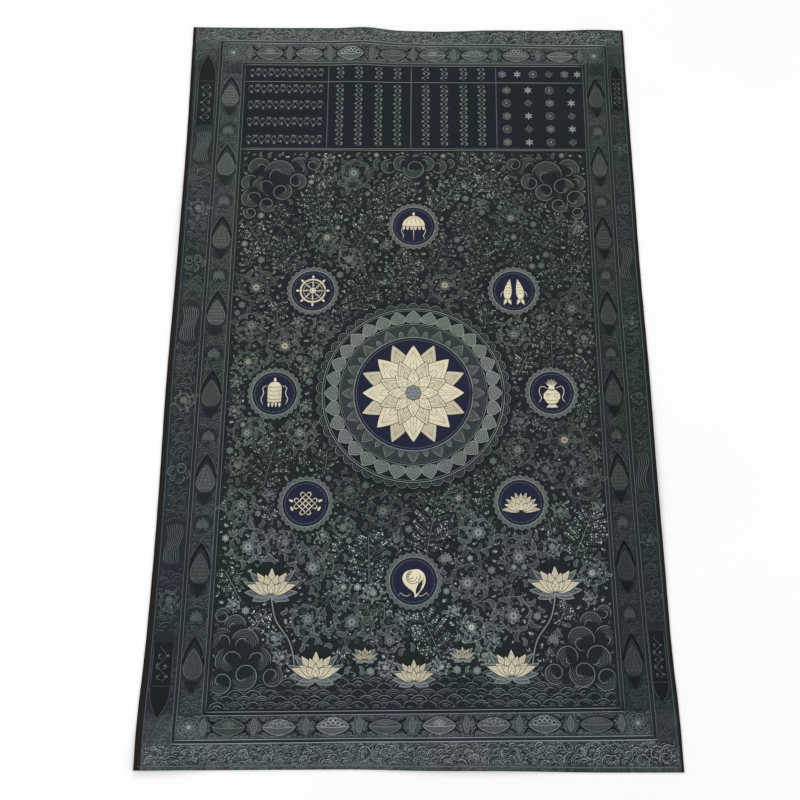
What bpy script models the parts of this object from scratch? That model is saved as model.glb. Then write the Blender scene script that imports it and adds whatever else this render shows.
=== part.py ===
"""A black-ground thangka: one length of figured brocade, laid flat and face up.

The cloth is a single woven piece with its own selvages. It has no mount, rods or cords.
+Z is up, the top edge of the picture is towards +Y, and the origin lies under the middle
of the cloth, on the surface that it rests on. Sizes are in metres.
"""

import math

import bmesh
import bpy
import numpy as np

CLOTH_WIDTH = 0.550
CLOTH_LENGTH = 0.900
CLOTH_THICKNESS = 0.0012

CELLS_ACROSS = 40
CELLS_ALONG = 66

GROUND_COLOUR = (0.022, 0.027, 0.029, 1.0)
GROUND_ROUGHNESS = 0.62

# How far each edge lies inside the rectangle that just holds the cloth.
# Columns: distance along the edge, inward bow. The side edges run down from the top
# edge, and the top and bottom edges run to the right from the left edge.
LEFT_EDGE = (
    (0.000, 0.0006),
    (0.050, 0.0014),
    (0.140, 0.0029),
    (0.305, 0.0037),
    (0.495, 0.0021),
    (0.600, 0.0034),
    (0.666, 0.0037),
    (0.790, 0.0021),
    (0.850, 0.0000),
    (0.900, 0.0009),
)
RIGHT_EDGE = (
    (0.000, 0.0009),
    (0.090, 0.0015),
    (0.220, 0.0023),
    (0.345, 0.0033),
    (0.455, 0.0025),
    (0.600, 0.0037),
    (0.696, 0.0030),
    (0.790, 0.0023),
    (0.850, 0.0002),
    (0.900, 0.0000),
)
TOP_EDGE = (
    (0.000, 0.0005),
    (0.096, 0.0006),
    (0.180, 0.0000),
    (0.212, 0.0004),
    (0.255, 0.0029),
    (0.325, 0.0037),
    (0.370, 0.0016),
    (0.450, 0.0012),
    (0.550, 0.0002),
)
BOTTOM_EDGE = (
    (0.000, 0.0006),
    (0.075, 0.0013),
    (0.165, 0.0020),
    (0.225, 0.0023),
    (0.285, 0.0012),
    (0.375, 0.0010),
    (0.466, 0.0000),
    (0.550, 0.0002),
)

# Soft ridges, where the cloth stands a little off the surface that it lies on.
# Columns: middle x, middle y, direction in degrees from +X, length, width, height.
RIDGES = (
    (-0.052, 0.455, 80.0, 0.300, 0.085, 0.0034),  # ripple down from the top edge
    (0.235, 0.455, 122.0, 0.170, 0.095, 0.0022),  # top right corner
    (-0.275, 0.145, 78.0, 0.360, 0.090, 0.0026),  # left edge, above the middle
    (0.275, -0.150, 96.0, 0.400, 0.095, 0.0032),  # right edge, below the middle
    (-0.255, -0.440, 38.0, 0.200, 0.110, 0.0040),  # bottom left corner
    (0.060, -0.450, 12.0, 0.300, 0.080, 0.0024),  # bottom edge
    (0.115, 0.175, 152.0, 0.330, 0.090, 0.0018),  # slack across the field
)


def start_clean():
    """Removes whatever the opened scene holds."""
    for existing in list(bpy.data.objects):
        bpy.data.objects.remove(existing, do_unlink=True)


def smooth_through(rows, at):
    """The bow of an edge: a smooth curve through its rows, read at each distance."""
    place, bow = np.array(rows).T
    slope = np.gradient(bow, place)
    cell = np.clip(np.searchsorted(place, at, side="right") - 1, 0, len(place) - 2)
    width = place[cell + 1] - place[cell]
    t = (at - place[cell]) / width
    start, end = bow[cell], bow[cell + 1]
    lean_in, lean_out = slope[cell] * width, slope[cell + 1] * width
    curve = (
        start * (2 * t**3 - 3 * t**2 + 1)
        + lean_in * (t**3 - 2 * t**2 + t)
        + end * (3 * t**2 - 2 * t**3)
        + lean_out * (t**3 - t**2)
    )
    return np.maximum(curve, 0.0)


def outline_place(across, down):
    """Where a point of the cloth lies. across and down run from 0 to 1."""
    left = -CLOTH_WIDTH / 2 + smooth_through(LEFT_EDGE, down * CLOTH_LENGTH)
    right = CLOTH_WIDTH / 2 - smooth_through(RIGHT_EDGE, down * CLOTH_LENGTH)
    top = CLOTH_LENGTH / 2 - smooth_through(TOP_EDGE, across * CLOTH_WIDTH)
    bottom = -CLOTH_LENGTH / 2 + smooth_through(BOTTOM_EDGE, across * CLOTH_WIDTH)
    return left + (right - left) * across, top + (bottom - top) * down


def ridge_fade(distance, reach):
    """1 on a ridge's line, falling smoothly to 0 at its reach and beyond."""
    return np.cos(np.clip(np.abs(distance) / reach, 0, 1) * math.pi / 2) ** 2


def lift_at(x, y):
    """How far the cloth's underside stands off the surface that it lies on."""
    lift = np.zeros_like(x)
    for middle_x, middle_y, direction, length, width, height in RIDGES:
        turn = math.radians(direction)
        along = (x - middle_x) * math.cos(turn) + (y - middle_y) * math.sin(turn)
        beside = (y - middle_y) * math.cos(turn) - (x - middle_x) * math.sin(turn)
        lift += height * ridge_fade(along, length / 2) * ridge_fade(beside, width / 2)
    return lift


def cloth_material():
    """Dark satin ground of the brocade."""
    material = bpy.data.materials.new("brocade_ground")
    material.use_nodes = True
    shader = material.node_tree.nodes["Principled BSDF"]
    shader.inputs["Base Color"].default_value = GROUND_COLOUR
    shader.inputs["Roughness"].default_value = GROUND_ROUGHNESS
    shader.inputs["Metallic"].default_value = 0.0
    return material


def make_cloth(collection):
    """One sheet: a grid laid on the outline and the ridges, given its thickness."""
    grid = bmesh.new()
    bmesh.ops.create_grid(
        grid, x_segments=CELLS_ACROSS, y_segments=CELLS_ALONG, size=0.5
    )
    flat = np.array([corner.co[:2] for corner in grid.verts])
    x, y = outline_place(flat[:, 0] + 0.5, 0.5 - flat[:, 1])
    for corner, place in zip(grid.verts, np.stack([x, y, lift_at(x, y)], axis=1)):
        corner.co = place
    mesh = bpy.data.meshes.new("thangka_cloth")
    grid.to_mesh(mesh)
    grid.free()
    mesh.materials.append(cloth_material())
    mesh.shade_smooth()

    cloth = bpy.data.objects.new("thangka_cloth", mesh)
    collection.objects.link(cloth)
    thickness = cloth.modifiers.new("thickness", "SOLIDIFY")
    thickness.thickness = CLOTH_THICKNESS
    thickness.offset = 1.0
    return cloth


def main():
    start_clean()
    collection = bpy.data.collections.new("thangka")
    bpy.context.scene.collection.children.link(collection)
    make_cloth(collection)


main()
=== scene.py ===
from math import acos, atan2, ceil, cos, hypot, pi, radians, sin, sqrt, tau

import bpy
import numpy as np
from mathutils import Euler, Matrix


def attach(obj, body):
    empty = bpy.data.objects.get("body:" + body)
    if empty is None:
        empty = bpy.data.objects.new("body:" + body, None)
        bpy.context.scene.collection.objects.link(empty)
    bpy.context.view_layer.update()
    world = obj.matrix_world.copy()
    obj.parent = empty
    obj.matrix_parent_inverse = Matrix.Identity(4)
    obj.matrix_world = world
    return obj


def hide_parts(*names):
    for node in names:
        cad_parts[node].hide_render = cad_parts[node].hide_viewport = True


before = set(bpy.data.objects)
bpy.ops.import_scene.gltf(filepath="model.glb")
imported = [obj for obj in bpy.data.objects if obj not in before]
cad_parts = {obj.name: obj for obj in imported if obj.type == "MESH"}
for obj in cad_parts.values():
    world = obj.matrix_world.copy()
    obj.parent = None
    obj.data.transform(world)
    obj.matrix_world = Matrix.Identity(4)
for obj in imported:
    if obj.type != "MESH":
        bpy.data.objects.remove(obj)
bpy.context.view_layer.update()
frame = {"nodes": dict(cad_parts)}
print("frame loaded:", ", ".join(frame["nodes"]))

# All measures are in mm, and all drawing is on the flat cloth, (right, down) from its top left corner.
cloth = {
    "width": 550,
    "length": 900,
    "thickness": 0.9,
    "cells": (92, 150),  # across, along
    "pucker": (0.45, 9, 37),  # waves along the selvages: height, reach, pitch
    "puckerDrift": (1.7, 83),  # how far and how slowly their pitch wanders
}

# How far each edge bows in: distances along it from the top or the left, and the bow at each.
edgeBows = {
    "left": (
        (0, 50, 140, 305, 495, 600, 666, 790, 850, 900),
        (0.6, 1.4, 2.9, 3.7, 2.1, 3.4, 3.7, 2.1, 0, 0.9),
    ),
    "right": (
        (0, 90, 220, 345, 455, 600, 696, 790, 850, 900),
        (0.9, 1.5, 2.3, 3.3, 2.5, 3.7, 3, 2.3, 0.2, 0),
    ),
    "top": ((0, 96, 180, 212, 255, 325, 370, 450, 550), (0.5, 0.6, 0, 0.4, 2.9, 3.7, 1.6, 1.2, 0.2)),
    "bottom": ((0, 75, 165, 225, 285, 375, 466, 550), (0.6, 1.3, 2, 2.3, 1.2, 1, 0, 0.2)),
}

# Soft ridges: middle x, middle y, direction in degrees from +X, length, width, height.
ridges = (
    (-52, 455, 80, 300, 85, 3.4),  # ripple down from the top edge
    (235, 455, 122, 170, 95, 2.2),  # top right corner
    (-275, 145, 78, 360, 90, 2.6),  # left edge, above the middle
    (275, -150, 96, 400, 95, 3.2),  # right edge, below the middle
    (-255, -440, 38, 200, 110, 4),  # bottom left corner
    (60, -450, 12, 300, 80, 2.4),  # bottom edge
    (115, 175, 152, 330, 90, 1.8),  # slack across the field
)

# How far the woven rules were pulled from true at their start, their middle and their end.
pulls = {
    "across": (  # x of the rule, then its shifts right
        (0, 0, 0, 0), (38, 0, 0, 0), (64.8, 2.6, 3.2, 1.7),
        (495, 2.6, -3, -1.8), (525, 0.8, -4.4, -1), (550, 0, 0, 0),
    ),
    "down": (  # y of the rule, then its shifts down
        (0, 0, 0, 0), (22.5, -0.5, 1, 4.5), (54, 1.2, 0.8, -0.5),
        (843, 2.6, -0.2, -4.4), (873.5, -0.4, -3.8, -7.6), (900, 0, 0, 0),
    ),
    "bowFades": 26,  # an edge's bow dies away over this distance
}


# A cubic through the points (place, value), each slope taken from its neighbours.
def through(place, value, at):
    place, value = np.asarray(place, float), np.asarray(value, float)
    slope = np.gradient(value, place)
    cell = np.clip(np.searchsorted(place, at, side="right") - 1, 0, len(place) - 2)
    span = place[cell + 1] - place[cell]
    t = (at - place[cell]) / span
    rise = value[cell] * (2 * t**3 - 3 * t**2 + 1) + value[cell + 1] * (3 * t**2 - 2 * t**3)
    lean = slope[cell] * (t**3 - 2 * t**2 + t) + slope[cell + 1] * (t**3 - t**2)
    return rise + lean * span


# An edge's bow, fading away from it: the cubic through its table * exp(-distance / bowFades).
def bowOf(edge, at, distance):
    return np.maximum(through(*edgeBows[edge], at), 0) * np.exp(-distance / pulls["bowFades"])


# 1 on a ridge's line, falling as a squared cosine to 0 at its reach.
def ridgeFade(distance, reach):
    return np.cos(np.clip(np.abs(distance) / reach, 0, 1) * pi / 2) ** 2


# Height of the cloth's underside: the sum of all ridges, height * fade along * fade across.
def liftAt(x, y):
    lift = np.zeros_like(x)
    for middleX, middleY, direction, length, width, height in ridges:
        turn = radians(direction)
        along = (x - middleX) * cos(turn) + (y - middleY) * sin(turn)
        beside = (y - middleY) * cos(turn) - (x - middleX) * sin(turn)
        lift += height * ridgeFade(along, length / 2) * ridgeFade(beside, width / 2)
    return lift


# Small waves beside the selvages: height * (1 + sin of the way down) / 2 * exp(-distance from edge / reach).
def puckerAt(right, down):
    height, reach, pitch = cloth["pucker"]
    drift, slow = cloth["puckerDrift"]
    wave = 0.5 + 0.5 * np.sin(down / pitch * tau + drift * np.sin(down / slow))
    near = np.minimum(right, cloth["width"] - right)
    return height * wave * np.exp(-np.maximum(near, 0) / reach)


# Shift at a place: a parabola through each rule's three values, straight between one rule and the next.
def pullAt(way, place, part):
    at, *shifts = np.array(pulls[way], float).T
    first, middle, last = (np.interp(place, at, shift) for shift in shifts)
    ends = first * (1 - part) * (1 - 2 * part) + last * part * (2 * part - 1)
    return ends + middle * 4 * part * (1 - part)


# A drawn point to its place in metres: pulled, moved in by the near edges' bows, and at the height
# lift + pucker + thickness + rise.
def onCloth(flat, rise):
    right, down = flat[..., 0], flat[..., 1]
    wide, long = cloth["width"], cloth["length"]
    x = right + pullAt("across", right, down / long) - wide / 2
    x = x + bowOf("left", down, right) - bowOf("right", down, wide - right)
    y = long / 2 - down - pullAt("down", down, right / wide)
    y = y - bowOf("top", right, down) + bowOf("bottom", right, long - down)
    height = liftAt(x, y) + puckerAt(right, down) + cloth["thickness"] + rise
    return np.stack([x, y, height], -1) / 1000


bakeMap = {
    "name": "OFBake",
    "unit": 900,  # mm of cloth along one side of the map
    "underStart": 0.62,  # undersides lie beside the upper faces
    "underWidth": 0.37,
}


# The map's place: u = right / unit, v = 1 - down / unit, with the undersides squeezed into a strip of it.
def mapPlace(flat, under):
    squeezed = bakeMap["underStart"] + flat[:, 0] / cloth["width"] * bakeMap["underWidth"]
    u = np.where(under, squeezed, flat[:, 0] / bakeMap["unit"])
    return np.stack([u, 1 - flat[:, 1] / bakeMap["unit"]], 1)


# One mesh from whole arrays: faceSets holds (corners, under) with an equal number of corners in each set.
def makePiece(name, places, flat, faceSets, yarn, tone=None):
    corners = np.concatenate([faces.ravel() for faces, below in faceSets])
    sides = np.concatenate([np.full(len(faces), faces.shape[1]) for faces, below in faceSets])
    under = np.concatenate([np.full(faces.size, below) for faces, below in faceSets])
    mesh = bpy.data.meshes.new(name)
    mesh.vertices.add(len(places))
    mesh.vertices.foreach_set("co", places.astype(np.float32).ravel())
    mesh.loops.add(len(corners))
    mesh.loops.foreach_set("vertex_index", corners.astype(np.int32))
    mesh.polygons.add(len(sides))
    mesh.polygons.foreach_set("loop_start", (np.cumsum(sides) - sides).astype(np.int32))
    mesh.update(calc_edges=True)
    uv = mesh.uv_layers.new(name=bakeMap["name"])
    uv.uv.foreach_set("vector", mapPlace(flat[corners], under).astype(np.float32).ravel())
    if tone is not None:
        mesh.attributes.new("tone", "FLOAT", "POINT")
        mesh.attributes["tone"].data.foreach_set("value", tone.astype(np.float32))
    mesh.shade_smooth()
    mesh.validate()
    mesh.materials.append(materials[yarn])
    piece = bpy.data.objects.new(name, mesh)
    bpy.context.scene.collection.objects.link(piece)
    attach(piece, "root")
    print(f"{name}: {int((sides - 2).sum())} triangles")
    return piece


# Drawn work is a list of (kind, yarn, points, size, level, tone): a line's size is its width, a fill's its
# crown, and the level is how far its foot stands above the cloth.
def line(points, width=0.75, level=0, tone=1, yarn="pale"):
    return [("line", yarn, np.asarray(points, float), width, level, tone)]


def fill(outline, level=0, tone=1, yarn="pale", crown=0.04):
    return [("fill", yarn, np.asarray(outline, float), crown, level, tone)]


# A patch within a closed edge, and a line above it along that edge.
def rimmed(edge, level, body, width, tone=1, above=0.14, yarn="pale", ink="pale", crown=0.04):
    return fill(edge[:-1], level, body, yarn, crown) + line(edge, width, level + above, tone, ink)


# Two arrays side by side, as points.
def columns(x, y):
    return np.stack([x, y], 1)


# Points turned clockwise about the origin and carried to (x, y).
def turned(points, turn, x=0, y=0):
    spin = np.array([[cos(turn), sin(turn)], [-sin(turn), cos(turn)]])
    return np.asarray(points, float) @ spin + (x, y)


# Work turned, scaled, mirrored if asked, and carried to (x, y).
def moved(work, x=0, y=0, turn=0, size=1, flip=False, level=0, tone=1):
    side = (-size, size) if flip else (size, size)
    return [
        (kind, yarn, turned(points * side, turn, x, y), thick, base + level, shade * tone)
        for kind, yarn, points, thick, base, shade in work
    ]


# A copy of the work at each place.
def scattered(work, places):
    return [item for place in places for item in moved(work, *place)]


# Copies evenly round a circle, the first turned by an angle.
def around(work, count, first=0):
    return scattered(work, [(0, 0, first + k * tau / count) for k in range(count)])


# Work and its mirror image.
def paired(work):
    return work + moved(work, flip=True)


drawn = {
    "stray": 0.18,  # every chord stays this near to its arc
    "softStep": 3.5,
    "ruleStep": 9,
}


# Chords for an arc, each of an angle of up to 2 acos(1 - stray / radius).
def stepsFor(radius, angle):
    each = 2 * acos(1 - min(0.45, drawn["stray"] / max(radius, 0.2)))
    return int(max(2, ceil(abs(angle) / each)))


# x + radius cos a, y + tall sin a, for a from start to end.
def arcLine(x, y, radius, start=0, end=tau, tall=None):
    angle = np.linspace(start, end, stepsFor(radius, end - start) + 1)
    tall = radius if tall is None else tall
    return columns(x + radius * np.cos(angle), y + tall * np.sin(angle))


# A circle as a line, and as a patch.
def ring(radius, width=0.75, level=0, tone=1, yarn="pale", x=0, y=0):
    return line(arcLine(x, y, radius), width, level, tone, yarn)


def disc(radius, level=0, tone=1, yarn="pale", crown=0.04, x=0, y=0):
    return fill(arcLine(x, y, radius)[:-1], level, tone, yarn, crown)


# As an arc, with the radius going from outer to inner as t**hold.
def spiralLine(x, y, outer, inner, start, angle, hold=1):
    t = np.linspace(0, 1, stepsFor((outer + inner) / 2, angle) + 1)
    radius = outer + (inner - outer) * t**hold
    return columns(x + radius * np.cos(start + angle * t), y + radius * np.sin(start + angle * t))


# A smooth line through a few points: a cubic of each coordinate over the chord length.
def softLine(points, step=None):
    points = np.asarray(points, float)
    chord = np.concatenate([[0], np.cumsum(np.linalg.norm(np.diff(points, axis=0), axis=1))])
    at = np.linspace(0, chord[-1], int(max(3, chord[-1] / (step or drawn["softStep"]))) + 1)
    return columns(*(through(chord, values, at) for values in points.T))


# A straight line in even steps, so that it follows the cloth.
def ruleLine(x0, y0, x1, y1):
    count = int(max(1, hypot(x1 - x0, y1 - y0) / drawn["ruleStep"]))
    return np.linspace([x0, y0], [x1, y1], count + 1)


# Right half of an outline from top to bottom, and its mirror image back up.
def mirrored(half):
    half = np.asarray(half, float)
    back = (half * (-1, 1))[::-1]
    return np.concatenate([half, back[np.abs(back[:, 0]) > 1e-6]])


# A petal's edge from its root at (0, 0) up to its tip at (lean, -length) and back.
# Half width = width / 2 * sin(pi v**point)**0.85, on a spine at lean * v**2.
def petalEdge(length, width, point=0.8, count=7, lean=0):
    v = (1 - np.cos(np.linspace(0, pi, count))) / 2
    half = width / 2 * np.abs(np.sin(pi * v**point)) ** 0.85
    up = columns(lean * v**2 - half, -v * length)
    down = columns(lean * v**2 + half, -v * length)[::-1]
    return np.concatenate([up, down[1:]])


# A small petal as one patch.
def solidLeaf(length, width, tone, yarn="pale", level=0):
    return fill(petalEdge(length, width, 0.75, 4)[:-1], level, tone, yarn)


# Flower seen from above: a star with every second point at 0.45 of the radius.
def smallBlossom(radius, petals, yarn, tone, level=0.05):
    angle = np.linspace(0, tau, petals * 2, endpoint=False)
    reach = radius * np.where(np.arange(petals * 2) % 2 == 0, 1, 0.45)
    return fill(columns(reach * np.sin(angle), -reach * np.cos(angle)), level, tone, yarn)


# Outlined petals round a ring.
def openBlossom(radius, petals, tone, thread=0.6):
    petal = line(petalEdge(radius, radius * 5.2 / petals, 0.62, 5), thread, 0, tone)
    petal += line([[0, -0.3 * radius], [0, -0.72 * radius]], 0.45, 0, 0.8 * tone)
    return around(petal, petals) + ring(radius * 0.24, 0.6, 0.06, tone)


# Work whose tone changes down the cloth: factors at some heights, straight between them.
def faded(work, heights, factors):
    return [
        (kind, yarn, points, thick, level, tone * float(np.interp(points[:, 1].mean(), heights, factors)))
        for kind, yarn, points, thick, level, tone in work
    ]


# Keeps the stretches of each line whose points pass the test.
def trimmed(work, test):
    kept = []
    for kind, yarn, points, thick, level, tone in work:
        good = test(points)
        cuts = np.flatnonzero(np.diff(good)) + 1
        for run in np.split(np.arange(len(points)), cuts):
            if good[run[0]] and len(run) > 1:
                kept.append((kind, yarn, points[run], thick, level, tone))
    return kept


# Whether each point is further from every disc's middle than its radius.
def outsideDiscs(points, discs):
    discs = np.asarray(discs, float).reshape(-1, 3)
    away = np.hypot(points[:, None, 0] - discs[:, 0], points[:, None, 1] - discs[:, 1]) - discs[:, 2]
    return (away > 0).all(1)


# Whether each point is inside a box of left, top, right and bottom.
def inBox(points, box):
    x0, y0, x1, y1 = box
    x, y = points.T
    return (x > x0) & (x < x1) & (y > y0) & (y < y1)


# Work hidden where later discs lie over it.
def behind(work, later):
    return trimmed(work, lambda points: outsideDiscs(points, later))


# Right or left by chance, as 1 or -1.
def handOf(rng):
    return 1 if rng.random() < 0.5 else -1


# Angles of a fan to both sides, the outermost first.
def fanned(reach, count):
    return sorted(np.linspace(-reach, reach, count), key=abs, reverse=True)


# Rows of a lotus: petals in the row, fan in degrees to each side, length, width, tone.
lotusRows = (
    (6, 80, 1.00, 0.34, 0.72),
    (5, 62, 0.92, 0.36, 0.86),
    (4, 44, 0.72, 0.34, 0.96),
    (3, 28, 0.48, 0.28, 1.04),
)


# Lotus from the side: rows of pointed petals fan out from one root, the shorter rows in front.
def lotus(size, rows=lotusRows, thread=0.6, count=8):
    work = []
    for row, (petals, fan, long, wide, tone) in enumerate(rows):
        long, wide = long * size, wide * size
        for turn in fanned(fan, petals):
            lean = 0.12 * turn / fan * size
            level = row * 0.16 + 0.05 * (1 - abs(turn) / fan)
            edge = petalEdge(long, wide, 0.72, count, lean)
            petal = rimmed(edge, level, tone, thread, 1, 0.12, "ivory", "dark")
            for side in (-0.22, 0, 0.22):
                vein = [[side * 0.4 * wide, -0.3 * long], [side * wide + 0.4 * lean, -0.62 * long]]
                vein += [[side * 0.3 * wide + 0.75 * lean, -0.86 * long]]
                petal += line(vein, 0.4, level + 0.13, 1.5, "dark")
            work += moved(petal, turn=radians(turn))
    return work


# Overlapping round lobes, each of nested rings and a curl, hidden where a later lobe lies over it.
def lobes(discs, tone, rings, width, seed):
    rng = np.random.default_rng(seed)
    work = []
    for number, (x, y, radius) in enumerate(discs):
        start, hand = rng.uniform(0, tau), handOf(rng)
        shade = tone * rng.uniform(0.8, 1.15)
        own = []
        for k, share in enumerate(rings):
            reach = radius * share
            if reach > 1:
                inner = reach - (0.16 * radius if k and rng.random() < 0.6 else 0)
                span = tau * rng.uniform(0.55, 0.9) if k else tau
                curl = spiralLine(x, y, reach, inner, start + 0.7 * k * hand, hand * span)
                own += line(curl, width, 0, shade * (0.72 if k else 1))
        work += behind(own, discs[number + 1 :])
    return work


# Jittered rows of circle centres over a box, the lower rows last.
def jittered(box, radius, seed, squash=0.8, vary=0.25):
    rng = np.random.default_rng(seed)
    x0, y0, x1, y1 = box
    discs = []
    for row, y in enumerate(np.arange(y0, y1 + radius * squash, radius * squash * 1.25)):
        for x in np.arange(x0 - radius + (row % 2) * radius, x1 + radius, radius * 2 * squash * 1.1):
            right, down = rng.uniform(-0.35, 0.35, 2) * radius
            discs.append((x + right, y + down, radius * rng.uniform(1 - vary, 1 + vary)))
    return discs


# A box filled with overlapping lobes, kept out of the blocked discs.
def lobeFill(box, radius, seed, tone, blocked, rings, width):
    work = lobes(jittered(box, radius, seed), tone, rings, width, seed)
    return trimmed(work, lambda points: inBox(points, box) & outsideDiscs(points, blocked))


# Leaf that hooks over at its tip: two edges beside a curling spine, the outer one scalloped, with veins.
# Heading = 1.9 v**2.2 - 0.25 along the spine, fullness = 0.30 * length * sin(pi v**0.7)**0.8.
def curlLeaf(length, hand=1, tone=1):
    v = np.linspace(0, 1, 10)
    heading = hand * (1.9 * v**2.2 - 0.25)
    step = columns(np.sin(heading), -np.cos(heading)) * length / 9
    spine = np.cumsum(step, axis=0) - step[0]
    hollow = columns(np.cos(heading), np.sin(heading)) * hand
    full = 0.30 * length * np.sin(pi * v**0.7) ** 0.8
    outer = spine - hollow * (full * (0.7 + 0.3 * np.abs(np.sin(3 * pi * v))))[:, None]
    inner = spine + hollow * (0.4 * full)[:, None]
    edge = np.concatenate([outer, inner[-2:0:-1], outer[:1]])
    work = rimmed(edge, 0.02, 0.17 * tone, 0.6, 0.95 * tone, 0.12)
    work += line(spine[:-1:2], 0.5, 0.16, 0.8 * tone)
    for k in (2, 4, 6):
        work += line([spine[k], 0.3 * spine[k + 1] + 0.7 * outer[k + 1]], 0.45, 0.16, 0.6 * tone)
    return work


# Flower seen from above: outlined petals, a smaller ring of solid ones between them, a dark heart.
def openFlower(radius, petals, tone=1, yarn="ivory"):
    outer = petalEdge(radius, radius * 5.4 / petals, 0.6, 5)
    inner = petalEdge(radius * 0.56, radius * 2.9 / petals, 0.6, 5)[:-1]
    solid = fill(inner, 0.32, (0.72 if yarn == "ivory" else 0.9) * tone, yarn)
    work = around(rimmed(outer, 0.10, 0.26 * tone, 0.6, tone), petals)
    return work + around(solid, petals, pi / petals) + disc(radius * 0.15, 0.5, 1, "dark")


# Leaflet: one short float, widest halfway up.
def leaflet(length, tone, width=1.3):
    outline = [[0, 0], [0.62 * width, -0.48 * length], [0, -length], [-0.5 * width, -0.52 * length]]
    return fill(outline, 0.06, tone, "pale", 0.1)


# Vine wound into a circle: a double stem spirals in to a flower over 1.35 turns, the thinner strand darker,
# with leaves and leaflets on both its sides.
def scrollVine(radius, start, hand, rng, tone=1):
    angle, outside, innermost = hand * tau * 1.35, 0.93, 0.40
    work = []
    for outer, inner, width in ((0, 0, 0.85), (1.7, 0.9, 0.5)):
        stem = spiralLine(0, 0, radius * outside - outer, radius * innermost - inner, start, angle, 1.4)
        work += line(stem, width, 0, width * tone)
    leaves = int(radius * 0.55) + 4
    for k in range(leaves):
        part = (k + 0.5) / leaves
        at, reach = start + angle * part, radius * (outside - (outside - innermost) * part**1.4)
        inward = 1 if k % 2 else -1
        heading = at + pi / 2 * (1 + hand) + 0.7 * hand * inward
        x, y = reach * cos(at), reach * sin(at)
        length = radius * rng.uniform(0.40, 0.58) * (1.1 - 0.3 * part)
        work += moved(curlLeaf(length, hand * inward, tone * rng.uniform(0.6, 1.2)), x, y, heading)
        for lean in (0.5, 1.1):
            bright = tone * rng.choice((0.4, 0.7, 1.1, 1.6))
            turn = heading - hand * inward * (0.9 + lean)
            work += moved(leaflet(rng.uniform(2.4, 3.6), bright), x, y, turn)
    yarn = "ivory" if rng.random() < 0.3 else "pale"
    return work + moved(openFlower(radius * 0.34, int(rng.integers(6, 9)), tone, yarn), level=0.1)


# Leafy bough: a bent stem, twigs to both sides, leaflets in pairs along them, brighter towards the tips.
def bough(radius, rng, tone=1, step=3):
    bend = rng.uniform(-0.5, 0.5) * radius
    stem = softLine([[0, radius], [bend * 0.6, 0.1 * radius], [bend, -0.85 * radius]], 3)
    work = line(stem, 0.7, 0, 0.7 * tone)
    for k, part in enumerate(np.arange(0.06, 1, step / (2 * radius))):
        root = stem[int(part * (len(stem) - 1))]
        side = 1 if k % 2 else -1
        reach = radius * 0.9 * sqrt(max(0.08, 1 - (2 * part - 1) ** 2)) * rng.uniform(0.65, 1.05)
        turn = side * (1.35 - 0.5 * part) + rng.uniform(-0.2, 0.2)
        tip = turned([[0, -reach]], turn, *root)[0]
        work += line([root, (root + tip) / 2 - (0, 0.08 * reach), tip], 0.45, 0, 0.45 * tone)
        for share in np.arange(0.28, 1.01, 2.5 / max(reach, 2.5)):
            x, y = root + (tip - root) * share
            for lean in (-0.85, 0.85):
                pick = rng.choice((0.2, 0.3, 0.4, 0.6, 0.9, 1.6))
                length, bright = rng.uniform(2.2, 3.2) + 0.5 * pick, tone * pick * (0.6 + 0.6 * share)
                work += moved(leaflet(length, bright, 1.1 + 0.3 * pick), x, y, turn + lean)
        if rng.random() < 0.12:
            work += moved(smallBlossom(rng.uniform(1, 1.6), 5, "ivory", 0.75, 0.1), *tip)
    return work


# Sprig: a few leaflets fanned out from one root.
def sprig(size, rng, tone, count=3):
    work = []
    for turn in np.linspace(-0.95, 0.95, count):
        length, bright = size * rng.uniform(0.75, 1), tone * rng.choice((0.3, 0.5, 0.9, 1.6))
        work += moved(leaflet(length, bright), turn=turn)
    return work


# Cloud or rock: overlapping curls, later ones in front. Each edge runs round the side that faces outwards
# and then winds in to the middle, with shorter arcs nested inside it at an even gap.
def bank(discs, tone, gap=1.8):
    middle = np.mean([place[:2] for place in discs], axis=0)
    work = []
    for number, (x, y, radius) in enumerate(discs):
        out = atan2(y - middle[1], x - middle[0])
        hand = 1 if number % 2 else -1
        edge = spiralLine(x, y, radius, 0.15 * radius, out - hand * 1.8, hand * tau * 1.3, 2.6)
        own = line(edge, 0.9, 0, tone)
        for k in range(1, int(radius / gap)):
            half = 1.9 - 0.9 * k * gap / radius
            arc = arcLine(x, y, radius - k * gap, out - half, out + half)
            own += line(arc, 0.6, 0, tone * (0.8, 0.6)[k % 2])
        work += behind(own, discs[number + 1 :])
    return work


# Discs for a bank of a given reach: small ones about a larger one in the middle.
def bankDiscs(reach, rng, count=5):
    discs = [(0, 0, reach * 0.5)]
    for k in range(count):
        angle = tau * (k + rng.uniform(-0.2, 0.2)) / count
        away, radius = reach * rng.uniform(0.42, 0.54), reach * rng.uniform(0.30, 0.44)
        discs.append((away * cos(angle), 0.8 * away * sin(angle), radius))
    return discs


# Palmette: a fan of outlined petals over two curls.
def palmette(size, tone):
    work = []
    for turn in fanned(1.35, 7):
        edge = petalEdge(size * (1.25 - 0.35 * abs(turn)), size * 0.46, 0.62, 6)
        level = 0.3 - 0.2 * abs(turn)
        petal = rimmed(edge, level, 0.2 * tone, 0.65, tone)
        petal += line(edge * 0.6 - (0, 0.2 * size), 0.5, level + 0.15, 0.7 * tone)
        work += moved(petal, 0, size * 0.4, turn)
    for side in (-1, 1):
        curl = spiralLine(side * size * 0.45, size * 0.62, size * 0.36, size * 0.08, -1.6, side * tau * 1.2)
        work += line(curl, 0.7, 0, tone)
    return work


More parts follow.
